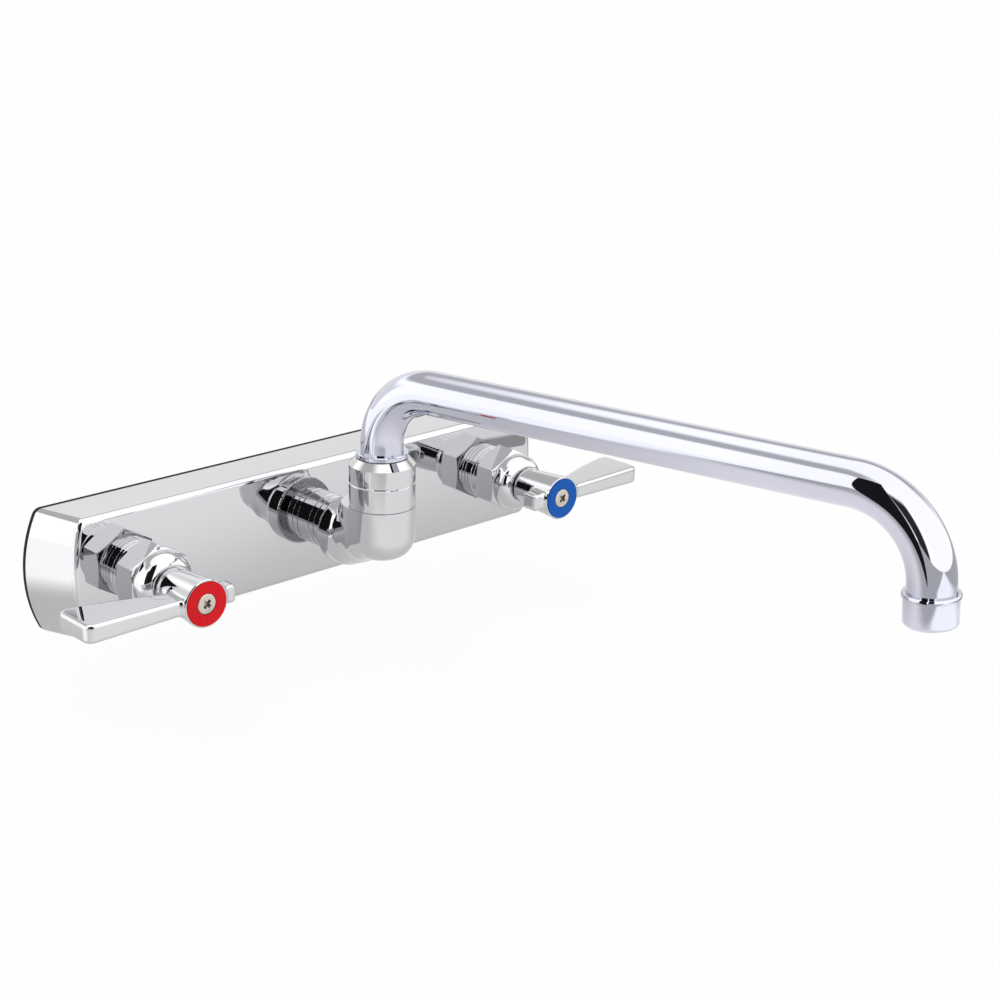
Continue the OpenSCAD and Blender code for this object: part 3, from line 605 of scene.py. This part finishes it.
class FAUCET_OT_valves(bpy.types.Operator):
    """Turns the neck rings, hexagonal bonnets, packing nuts and handle screws"""
    bl_idname = "faucet.valves"
    bl_label = "Valve fittings"

    def ring(self, sizes, back, front):
        """The round ring that holds the plate, with two fine turned grooves."""
        line, floor, edge = 0.25 * MM, 0.1 * MM, sizes.ring
        profile = [(NECK_BORE, back), (edge - line, back), (edge, back + line)]
        for i in (1, 2):
            groove = back + (front - back) * i / 3
            profile += [(edge, groove - line), (edge - line, groove - floor),
                        (edge - line, groove + floor), (edge, groove + line)]
        return profile + [(edge, front - line), (edge - line, front), (NECK_BORE, front)]

    def bonnet(self, name, sizes, back, front, place):
        """A hexagon with both ends turned round, on a skirt that goes into the body."""
        corner, chamfer = sizes.flats / 2 / math.cos(math.pi / 6), MM
        piece = hexagon(name, back, front, corner, place)
        turned = sizes.flats / 2 - chamfer / 3
        ends = [(0, back), (turned, back), (corner, back + chamfer), (corner, front - chamfer),
                (turned, front), (0, front)]
        combine(piece, lathe("ends", ends, 144, place), "INTERSECT")
        skirt, skirt_end = 8.5 * MM, 6.7 * MM
        combine(piece, plug("skirt", skirt, skirt_end, back + MM, HOLE_STEPS, place), "UNION")
        below, chamber, chamber_front, thread_depth = 6 * MM, 7.3 * MM, 22.7 * MM, 5.5 * MM
        bore = [(0, below), (chamber, below), (chamber, chamber_front), (STEM_BORE, chamber_front),
                (STEM_BORE, front - thread_depth), (NUT_THREAD + FIT, front - thread_depth),
                (NUT_THREAD + FIT, front + MM), (0, front + MM)]
        combine(piece, lathe("bore", bore, HOLE_STEPS, place), "DIFFERENCE")
        return piece

    def packing_nut(self, sizes, back):
        """A round nut with a full front, screwed into the bonnet."""
        line, thread_end, front = 0.25 * MM, back - 5.4 * MM, back + sizes.nut_length
        return [(STEM_BORE, thread_end), (NUT_THREAD, thread_end), (NUT_THREAD, back),
                (sizes.nut - line, back), (sizes.nut, back + line),
                *rounded_edge(sizes.nut, front, sizes.nut_round, sizes.nut_round, 14),
                (STEM_BORE, front)]

    def screw(self, name, sizes, place):
        """A pan head screw with a cross recess."""
        top, tip, shank, point = -SCREW_LOW.y, -SCREW_HIGH.y, 2.4 * MM, 0.4 * MM
        seat, crown = top - 2.4 * MM, rounded_edge(sizes.head, top, 0.7 * MM, 0.55 * MM, 8)
        profile = [(0, tip), (shank - point, tip), (shank, tip + point), (shank, seat),
                   (sizes.head, seat), *crown, (0, top)]
        piece = lathe(name, profile, HOLE_STEPS, place)
        reach, half, floor = 2.3 * MM, 0.8 * MM, top - 2 * MM
        narrowed, thinned = 0.72, 0.8    # shares of the recess that are left at its floor
        for turned in (0, 1):
            corners = [(-reach, -half), (reach, -half), (reach, half), (-reach, half)]
            low = [(x * narrowed, y * thinned, floor) for x, y in corners]
            points = low + [(x, y, top + MM) for x, y in corners]
            turn = Matrix.Rotation(math.radians(45 + 90 * turned), 4, "Z")
            wing = closed_piece("wing", [place @ turn @ Vector(p) for p in points],
                                [(0, 1, 2, 3), (4, 5, 6, 7)] + band(0, 4, 4))
            combine(piece, wing, "DIFFERENCE")
        return piece

    def execute(self, context):
        sizes, plate = context.scene.faucet_valve, context.scene.faucet_plate.depth
        ring_front = plate + sizes.ring_length
        back = ring_front + 0.35 * MM     # a shadow gap between the ring and the hexagon
        front = back + sizes.bonnet_length
        for side, sense in SIDES.items():
            place = out_frame(sense * VALVE_X)
            dress(lathe(f"{side}_ring", self.ring(sizes, plate, ring_front), ROUND_STEPS, place),
                  "faucet_body", "chrome_fittings", [f"{side}_neck_ring"])
            dress(self.bonnet(f"{side}_hexagon", sizes, back, front, place), "faucet_body",
                  "chrome_fittings", [f"{side}_bonnet"])
            dress(lathe(f"{side}_round_nut", self.packing_nut(sizes, front), ROUND_STEPS, place),
                  "faucet_body", "chrome_fittings", [f"{side}_packing_nut"])
            dress(self.screw(f"{side}_pan_screw", sizes, place), f"{side}_lever", "screw_steel",
                  [f"{side}_handle_screw"])
        return {"FINISHED"}


class FAUCET_OT_levers(bpy.types.Operator):
    """Builds the two cast lever handles"""
    bl_idname = "faucet.levers"
    bl_label = "Lever handles"

    def form(self, sizes):
        """The casting about its valve axis: x along the lever, y out from the wall, z up."""
        hub_back, hub_front = -LEVER_HIGH.y, -LEVER_LOW.y
        face, edge, inside_hub = hub_front - 1.7 * MM, 1.3 * MM, 2 * MM
        root, growth, easing = 0.27, 1.21, 0.475    # shares of the tip's width, along the blade
        flare = 0.18    # share of the hub's radius by which it widens from back to front

        def blade(points):
            x, out, z = points.T
            share = np.clip(x / sizes.reach, 0, 1)
            thickness = sizes.root_thickness + (sizes.tip_thickness - sizes.root_thickness) * share
            width = sizes.tip_width * (root + growth * share - easing * share ** 2)
            slope = sizes.tip_width / sizes.reach * (growth - 2 * easing * share)
            rear = (face - width - out) / np.sqrt(1 + slope ** 2)
            corner = 4 * MM
            outline = both(both(x - sizes.reach, out - face, corner), rear, corner)
            outline = both(outline, -x - inside_hub, 2 * MM)
            return both(outline, np.abs(z) - thickness / 2, edge)

        def tail(points):
            x, out, z = points.T
            half = sizes.tail_width / 2
            outline = both(-sizes.tail - x, np.abs(out - face + half) - half, 1.6 * MM)
            return both(both(outline, x - inside_hub, MM), np.abs(z) - sizes.tail_thickness / 2, edge)

        def hub(points):
            x, out, z = points.T
            lean = flare * sizes.hub / (hub_front - hub_back)
            side = (np.hypot(x, z) - sizes.hub + lean * (hub_front - out)) / math.sqrt(1 + lean ** 2)
            return both(both(side, hub_back - out, 1.2 * MM), out - hub_front - 2 * MM, 0.2 * MM)

        return joined(joined(hub, blade, sizes.fillet), tail, sizes.fillet * 0.7)

    def execute(self, context):
        sizes = context.scene.faucet_lever
        hub_back, hub_front = -LEVER_HIGH.y, -LEVER_LOW.y
        low = (-sizes.tail, hub_back, -sizes.hub)
        high = (sizes.reach, hub_front + 2 * MM, sizes.hub)
        stem, screw, head, disc, chamfer = 3.75 * MM, 2.75 * MM, 4.6 * MM, 9.575 * MM, 0.33 * MM
        stem_end, screw_seat = hub_back + 14.1 * MM, hub_front - 2 * MM
        disc_seat, rim = hub_front - 0.6 * MM, hub_front - 0.12 * MM
        shaved, beyond = hub_front - 2 * chamfer, hub_front + 4 * MM
        bore = [(0, hub_back - MM), (stem, hub_back - MM), (stem, stem_end), (screw, stem_end),
                (screw, screw_seat), (head, screw_seat), (head, disc_seat), (disc, disc_seat),
                (disc, rim), (9.7 * MM, hub_front), (sizes.hub - chamfer, hub_front),
                (sizes.hub + chamfer, shaved), (2 * sizes.hub, shaved), (2 * sizes.hub, beyond),
                (0, beyond)]
        points, faces = skin(self.form(sizes), low, high, CAST_STEP)
        for side, sense in SIDES.items():
            handle = closed_piece(f"{side}_lever_casting",
                                  points * (sense, -1, 1) + (sense * VALVE_X, 0, 0), faces)
            drill = lathe("bore", bore, ROUND_STEPS, out_frame(sense * VALVE_X))
            combine(handle, drill, "DIFFERENCE")
            dress(handle, f"{side}_lever", "chrome_handle", [f"{side}_handle"])
        return {"FINISHED"}


class FAUCET_OT_elbow(bpy.types.Operator):
    """Builds the cast elbow that turns the water up to the swivel"""
    bl_idname = "faucet.elbow"
    bl_label = "Elbow"

    def form(self, sizes):
        """The casting: x along the wall, y out from the wall, z up."""
        drop, start, joint = -CENTRE_DROP, 47 * MM, 18.5 * MM
        ball_z, second_axis = 7.7 * MM, sizes.pivot - 5.3 * MM
        rise = (ball_z - drop) / (sizes.pivot - start)

        def column(points):
            x, out, z = points.T
            nearest = np.clip(out, second_axis, sizes.pivot)
            side = np.hypot(x, out - nearest) - sizes.column
            under = (drop + (nearest - start) * rise - sizes.column - z) / math.hypot(1, rise)
            return both(both(side, under, sizes.foot), z - joint, 0.3 * MM)

        def slope(points):
            x, out, z = points.T
            along = (out - start + (z - drop) * rise) / (1 + rise ** 2)
            along = np.clip(along, 0, sizes.pivot - start)
            side = np.sqrt(x ** 2 + (out - start - along) ** 2 + (z - drop - along * rise) ** 2)
            side = both(side - sizes.column + 0.1 * MM, start - 4 * MM - out, MM)
            return both(side, z - joint, 0.3 * MM)

        def shoulder(points):
            x, out, z = points.T
            back, front = 39.5 * MM, 50.5 * MM
            side = np.hypot(x, z - drop) - sizes.shoulder
            return both(both(side, out - front, 4.5 * MM), back - out, 0.8 * MM)

        return joined(joined(column, slope, sizes.fillet), shoulder, 2.5 * MM)

    def execute(self, context):
        sizes = context.scene.faucet_elbow
        low = (-sizes.shoulder, 39 * MM, -sizes.shoulder - MM)
        high = (sizes.shoulder, sizes.pivot + sizes.column, 18.5 * MM)
        points, faces = skin(self.form(sizes), low, high, CAST_STEP)
        elbow = closed_piece("elbow_casting", points * (1, -1, 1), faces)
        spigot, spigot_end, grooved = 8.6 * MM, 10 * MM, 14.5 * MM
        neck = [(0, spigot_end), (spigot, spigot_end), (spigot, PLATE_FACE), (sizes.neck, PLATE_FACE)]
        groove = ((0, 0), (0.2, 0.1), (0.6, 0.25), (0.6, 0.55), (0.2, 0.7), (0, 0.8))
        for i in (1, 2, 3):
            start = PLATE_FACE + grooved * i / 4
            neck += [(sizes.neck - deep * MM, start + along * MM) for deep, along in groove]
        neck += [(sizes.neck, 42 * MM), (0, 42 * MM)]
        combine(elbow, lathe("neck", neck, ROUND_STEPS, out_frame(0, -CENTRE_DROP)), "UNION")
        pivot = Matrix.Translation((0, -sizes.pivot, 0))
        above = plug("above", 3 * sizes.column, ELBOW_TOP, 30 * MM, 32, pivot)
        combine(elbow, above, "DIFFERENCE")
        water_way, floor, swivel, swivel_floor = 5.6 * MM, 2 * MM, 10.55 * MM, 9 * MM
        socket = [(0, floor), (water_way, floor), (water_way, swivel_floor), (swivel, swivel_floor),
                  (swivel, ELBOW_TOP + MM), (0, ELBOW_TOP + MM)]
        combine(elbow, lathe("socket", socket, HOLE_STEPS, pivot), "DIFFERENCE")
        dress(elbow, "faucet_body", "chrome_body", ["spout_elbow"])
        return {"FINISHED"}


class FAUCET_OT_spout(bpy.types.Operator):
    """Bends the spout tube and sets the outlet on its leaning end"""
    bl_idname = "faucet.spout"
    bl_label = "Spout tube"

    def path(self, sizes):
        """Points (reach, height), directions and flattening along the tube's centre line."""
        foot = 35.6 * MM
        run = SPOUT_HIGH.z - sizes.radius
        start_steps, level_steps, end_steps = 40, 24, 48
        stations = []
        for i in range(start_steps + 1):
            angle = math.pi / 2 * i / start_steps
            stations.append((sizes.start_bend * (1 - math.cos(angle)),
                             run - sizes.start_bend * (1 - math.sin(angle)),
                             math.pi / 2 - angle, math.sin(2 * angle) ** 2))
        level = sizes.reach - sizes.start_bend - sizes.end_bend
        stations += [(sizes.start_bend + level * i / level_steps, run, 0.0, 0.0)
                     for i in range(1, level_steps)]
        turn = math.pi / 2 - sizes.lean
        for i in range(end_steps + 1):
            angle = turn * i / end_steps
            stations.append((sizes.reach - sizes.end_bend * (1 - math.sin(angle)),
                             run - sizes.end_bend * (1 - math.cos(angle)), -angle,
                             math.sin(math.pi * i / end_steps) ** 2))
        straight = run - sizes.end_bend - sizes.outlet
        end = (stations[-1][0] + straight * math.cos(turn), stations[-1][1] - straight * math.sin(turn))
        return [(0, foot, math.pi / 2, 0.0)] + stations + [(*end, -turn, 0.0)]

    def execute(self, context):
        sizes = context.scene.faucet_spout
        pivot = context.scene.faucet_elbow.pivot
        swing = context.scene.faucet_swing
        ahead = Vector((math.sin(swing), -math.cos(swing), 0))
        across = Vector((0, 0, 1)).cross(ahead)
        count, flattening, points = 72, 0.015, []
        stations = self.path(sizes)
        for radius in (sizes.radius, sizes.radius - sizes.wall):
            for reach, height, lean, flat in stations:
                centre = Vector((0, -pivot, 0)) + ahead * reach + Vector((0, 0, height))
                normal = -ahead * math.sin(lean) + Vector((0, 0, math.cos(lean)))
                for i in range(count):
                    angle = TURN * i / count
                    points.append(centre + across * (radius * math.cos(angle))
                                  + normal * (radius * (1 - flattening * flat) * math.sin(angle)))
        rows = len(stations)
        pairs = [(wall * rows + r, wall * rows + r + 1) for wall in (0, 1) for r in range(rows - 1)]
        pairs += [(0, rows), (rows - 1, 2 * rows - 1)]
        faces = [quad for a, b in pairs for quad in band(a * count, b * count, count)]
        tube = closed_piece("swing_spout_tube", points, faces)
        dress(tube, "spout", "chrome_spout", ["spout_tube"])
        upright = Matrix((ahead, across, (0, 0, 1))).transposed().to_4x4()
        upright.translation = (0, -pivot, 0)
        self.outlet(sizes, upright)
        return {"FINISHED"}

    def outlet(self, sizes, upright):
        """Turns the collar and sets the outlet's inner pieces on the leaning end of the tube."""
        run = SPOUT_HIGH.z - sizes.radius
        place = (upright @ Matrix.Translation((sizes.reach - sizes.end_bend, 0, run - sizes.end_bend))
                 @ Matrix.Rotation(-sizes.lean, 4, "Y")
                 @ Matrix.Translation((sizes.end_bend, 0, sizes.end_bend - run)))
        overhang = 6 * MM
        low = sizes.outlet - overhang
        high, rim, soft, bore = low + sizes.collar_length, 0.5 * MM, 1.6 * MM, sizes.radius + FIT
        profile = [(bore, low), *reversed(rounded_edge(sizes.collar, low, soft, -soft, 8)),
                   (sizes.collar, high - 2 * MM), (sizes.collar + rim, high - 1.6 * MM),
                   (sizes.collar + rim, high - rim), (sizes.collar + rim * 0.4, high), (bore, high)]
        dress(lathe("leaning_collar", profile, ROUND_STEPS, place), "spout", "chrome_spout",
              ["outlet_collar"])
        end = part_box("outlet_washer")[1].z
        was = upright @ Matrix.Translation((CAD_REACH, 0, end - sizes.outlet))
        for node, slot in (("outlet_washer", "rubber"), ("outlet_screen", "screw_steel"),
                           ("outlet_insert", "white_plastic")):
            dress(copy_of(f"leaning_{node[7:]}", node, place @ was.inverted()), "spout", slot, [node])


class FAUCET_OT_shanks(bpy.types.Operator):
    """Cuts the pipe thread on the two inlet shanks"""
    bl_idname = "faucet.shanks"
    bl_label = "Threaded shanks"

    def execute(self, context):
        pitch, depth, radius, bore, count = 1.814 * MM, MM, 10.45 * MM, 6 * MM, 96
        tip, root, flange = -SHANK_HIGH.y, -MM, -SHANK_LOW.y
        edge, lead_in, run_out = 1.1 * MM, 1.6 * MM, 1.2 * MM
        flange_back, flange_radius = 2.8 * MM, 13.75 * MM
        levels = np.arange(tip + 0.6 * MM, root, pitch / 12)
        for side, sense in SIDES.items():
            rings = [[(bore, tip)] * count, [(radius - edge, tip)] * count]
            for level in levels:
                ring = []
                for i in range(count):
                    phase = ((level / pitch) - i / count) % 1
                    crest = min(max(abs(2 * phase - 1) * 1.35 - 0.15, 0), 1)
                    ends = min((level - tip) / lead_in, (root - level) / run_out, 1)
                    ring.append((radius - depth * (1 - crest * ends if ends < 1 else 1 - crest), level))
                rings.append(ring)
            rings += [[(radius - depth, root)] * count, [(radius, root + 0.6 * MM)] * count,
                      [(radius, flange_back)] * count, [(flange_radius, flange_back)] * count,
                      [(flange_radius, flange)] * count, [(bore, flange)] * count]
            points, faces = [], []
            place, round_shank = out_frame(sense * VALVE_X), ring_points(1, count)
            for ring in rings:
                points += [place @ Vector((r * x, r * y, h))
                           for (x, y), (r, h) in zip(round_shank, ring)]
            for r in range(len(rings)):
                faces += band(r * count, (r + 1) % len(rings) * count, count)
            shank = closed_piece(f"{side}_threaded_shank", points, faces)
            dress(shank, "faucet_body", "brass", [f"{side}_inlet_shank"], 40)
        return {"FINISHED"}


class FAUCET_OT_fittings(bpy.types.Operator):
    """Gives every CAD piece its finish, for those that nothing replaces"""
    bl_idname = "faucet.fittings"
    bl_label = "Fittings"

    def execute(self, context):
        slots = {row["node"]: row["material_slot"] for row in frame["record"]["subparts"]}
        for name, node in frame["nodes"].items():
            if not node.material_slots:
                node.data.materials.append(None)
            for holder in node.material_slots:
                holder.material = finish(slots[name])
        return {"FINISHED"}


class FAUCET_OT_finishes(bpy.types.Operator):
    """Makes the materials of the faucet"""
    bl_idname = "faucet.finishes"
    bl_label = "Finishes"

    def execute(self, context):
        made = make_finishes(context.scene.faucet_finish)
        named = {row["slot"] for row in frame["record"]["materials"]}
        if set(made) != named:
            raise RuntimeError(f"finishes and record differ: {sorted(set(made) ^ named)}")
        return {"FINISHED"}


class FAUCET_OT_stage(bpy.types.Operator):
    """Sets the camera, the soft lights, the floor and the studio round the faucet"""
    bl_idname = "faucet.stage"
    bl_label = "Stage"

    def camera(self, lens):
        yaw, pitch, roll = (math.radians(a) for a in (43.68, 19.20, 1.27))
        distance, aside, above = 0.9078, 0.09729, 0.00119
        back = Vector((-math.sin(yaw) * math.cos(pitch), -math.cos(yaw) * math.cos(pitch),
                       math.sin(pitch)))
        right = Vector((math.cos(yaw), -math.sin(yaw), 0))
        up = back.cross(right)
        right, up = (right * math.cos(roll) + up * math.sin(roll),
                     up * math.cos(roll) - right * math.sin(roll))
        place = Matrix((right, up, back)).transposed().to_4x4()
        place.translation = back * distance + right * aside + up * above
        camera = bpy.data.objects.new("camera", bpy.data.cameras.new("camera"))
        camera.data.sensor_width, camera.data.lens = 36, lens
        camera.data.clip_start, camera.data.clip_end = 0.01, 60
        camera.matrix_world = place
        bpy.context.scene.collection.objects.link(camera)
        bpy.context.scene.camera = camera

    def lamp(self, name, where, width, height, power):
        light = bpy.data.lights.new(name, "AREA")
        light.shape, light.size, light.size_y, light.energy = "RECTANGLE", width, height, power
        lamp = bpy.data.objects.new(name, light)
        lamp.location = where
        lamp.visible_glossy = False
        faucet_middle = Vector((0.02, -0.15, 0.02))
        aim = faucet_middle - Vector(where)
        lamp.rotation_euler = aim.to_track_quat("-Z", "Y").to_euler()
        bpy.context.scene.collection.objects.link(lamp)

    def light_paths(self, recipe):
        """Shares that are 1 for what the camera sees itself and for what shiny pieces mirror."""
        path = recipe.tree.nodes.new("ShaderNodeLightPath")
        return (Signal(recipe, path.outputs["Is Camera Ray"]),
                Signal(recipe, path.outputs["Is Glossy Ray"]).at_least(
                    Signal(recipe, path.outputs["Is Transmission Ray"])))

    def parts(self, recipe, vector):
        node = recipe.tree.nodes.new("ShaderNodeSeparateXYZ")
        recipe.tree.links.new(vector.socket, node.inputs[0])
        return [Signal(recipe, node.outputs[i]) for i in range(3)]

    def studio(self):
        """A white studio, brighter in front, at the left and above, with a darker stretch of
        ceiling and a nearly black corner at the front left. Only shiny pieces show these
        differences; the camera itself sees white."""
        world = bpy.data.worlds.new("studio")
        bpy.context.scene.world = world
        recipe = Recipe(world)
        seen, mirrored = self.light_paths(recipe)
        x, y, z = self.parts(recipe, recipe.place("Generated"))
        screen = recipe.spread(x, -0.42, -0.62) * recipe.spread(z, 0.86, 0.7)
        behind = recipe.spread(y, -0.3, 0.1)
        above = recipe.spread(z, 0.34, 0.5) * behind
        ceiling = recipe.spread(abs(z + x * 0.25 - 0.68), 0.2, 0.08) * behind
        tone = 1.17 + screen.at_least(above) * 0.65 + (1 - behind) * 0.7
        heading = x.maths("ARCTAN2", x, 0 - y)
        corner = recipe.spread(heading, -1.24, -1.14) * recipe.spread(heading, -0.72, -0.84)
        corner = corner * recipe.spread(z, -0.24, -0.18) * recipe.spread(z, 0.8, 0.62)
        tone = tone * (1 - ceiling * 0.6) * (1 - corner * 0.985)
        light = mirrored * tone + (1 - mirrored)
        strength = seen + (1 - seen) * light
        shader = recipe.add("ShaderNodeBackground", {}, {"Color": (1, 1, 1, 1), "Strength": strength})
        recipe.add("ShaderNodeOutputWorld", {}, {"Surface": shader})

    def floor(self, drop):
        """A pale table. Shiny pieces mirror it as a glow with painted light, brighter at the left by
        the wall and in front, and painted shadow, darker near the wall, behind the dark card and at the
        right."""
        half = 6.0
        piece = new_piece("floor", [(x, y, -drop) for x, y in ((-half, -half), (half, -half),
                                                               (half, half), (-half, half))],
                          [(0, 1, 2, 3)])
        material = bpy.data.materials.new("floor")
        recipe = Recipe(material)
        seen, mirrored = self.light_paths(recipe)
        x, y, _ = self.parts(recipe, recipe.place("Object"))
        # painted light: patches where the mirrored glow is brighter, at the left by the wall and in
        # front
        screen = recipe.spread(x, -0.21, -0.31) * recipe.spread(y, -0.16, -0.04)
        left = recipe.spread(x, -0.1, -0.15)
        front = recipe.spread(y, -0.4, -0.47) * (1 - left) * recipe.spread(x, 0.34, 0.24)
        # painted shadow: the mirrored glow darkens behind the dark card, which casts no real shadow,
        # and at the right
        card_painted_shadow = recipe.spread(x * 0.61 + y * 0.79, -0.25, -0.4) * left * (1 - screen)
        painted_shadow = card_painted_shadow.at_least(recipe.spread(x, 0.3, 0.4))
        # painted shadow: the mirrored glow darkens towards the wall, as if under the faucet
        tone = 1.22 - recipe.spread(y, -0.22, -0.05) * 0.38
        tone = (tone + screen * 0.85 + front * 0.45) * (1 - painted_shadow * 0.45)
        glow = recipe.add("ShaderNodeEmission", {}, {"Color": (1, 1, 1, 1),
                                                     "Strength": seen + (1 - seen) * tone})
        matt = recipe.add("ShaderNodeBsdfDiffuse", {}, {"Color": (0.86, 0.86, 0.86, 1)})
        shader = recipe.add("ShaderNodeMixShader", {}, {0: seen * 0.93 + mirrored, 1: matt, 2: glow})
        recipe.add("ShaderNodeOutputMaterial", {}, {"Surface": shader})
        piece.data.materials.append(material)

    def card(self, start, end, low, high):
        """A black card that stands between the camera and the faucet, hidden from the camera. Only
        shiny pieces show it, as dark streaks."""
        piece = new_piece("dark_card", [(*start, low), (*end, low), (*end, high), (*start, high)],
                          [(0, 1, 2, 3)])
        material = bpy.data.materials.new("dark_card")
        recipe = Recipe(material)
        shader = recipe.add("ShaderNodeEmission", {}, {"Color": (0.016, 0.016, 0.018, 1)})
        recipe.add("ShaderNodeOutputMaterial", {}, {"Surface": shader})
        piece.data.materials.append(material)
        piece.visible_camera = piece.visible_diffuse = piece.visible_shadow = False

    def execute(self, context):
        settings = context.scene.faucet_stage
        self.camera(settings.lens)
        self.lamp("key", (-0.5, 0.35, 1.25), width=0.9, height=0.5, power=settings.key_power)
        self.lamp("fill", (1.2, -0.8, 0.7), width=0.8, height=0.6, power=settings.fill_power)
        self.studio()
        self.floor(settings.floor_drop)
        self.card(start=(-0.16, -0.384), end=(-0.34, -0.244), low=-0.03, high=0.5)
        context.scene.view_settings.view_transform = "Standard"
        return {"FINISHED"}


class FAUCET_PT_panel(bpy.types.Panel):
    """Lists the steps that build the faucet's looks"""
    bl_idname = "FAUCET_PT_panel"
    bl_label = "Splash mount faucet"
    bl_space_type = "VIEW_3D"
    bl_region_type = "UI"
    bl_category = "Faucet"

    def draw(self, context):
        for step in STEPS:
            self.layout.operator(step.bl_idname)


STEPS = (FAUCET_OT_finishes, FAUCET_OT_fittings, FAUCET_OT_plate, FAUCET_OT_valves,
         FAUCET_OT_levers, FAUCET_OT_elbow, FAUCET_OT_spout, FAUCET_OT_shanks, FAUCET_OT_stage)
GROUPS = {"faucet_plate": PlateSizes, "faucet_valve": ValveSizes, "faucet_lever": LeverSizes,
          "faucet_elbow": ElbowSizes, "faucet_spout": SpoutSizes, "faucet_finish": Finishes,
          "faucet_stage": StageSettings}


def register():
    for group in GROUPS.values():
        bpy.utils.register_class(group)
    for step in STEPS:
        bpy.utils.register_class(step)
    bpy.utils.register_class(FAUCET_PT_panel)
    for name, group in GROUPS.items():
        setattr(bpy.types.Scene, name, PointerProperty(type=group))
    bpy.types.Scene.faucet_swing = FloatProperty(
        name="Swing", description="Angle from straight out at which the spout rests", unit="ROTATION",
        default=math.radians(12.8))


def unregister():
    del bpy.types.Scene.faucet_swing
    for name in GROUPS:
        delattr(bpy.types.Scene, name)
    for kind in (FAUCET_PT_panel, *reversed(STEPS), *GROUPS.values()):
        bpy.utils.unregister_class(kind)


def main():
    register()
    for step in STEPS:
        group, name = step.bl_idname.split(".")
        getattr(getattr(bpy.ops, group), name)()


if __name__ == "__main__":
    main()
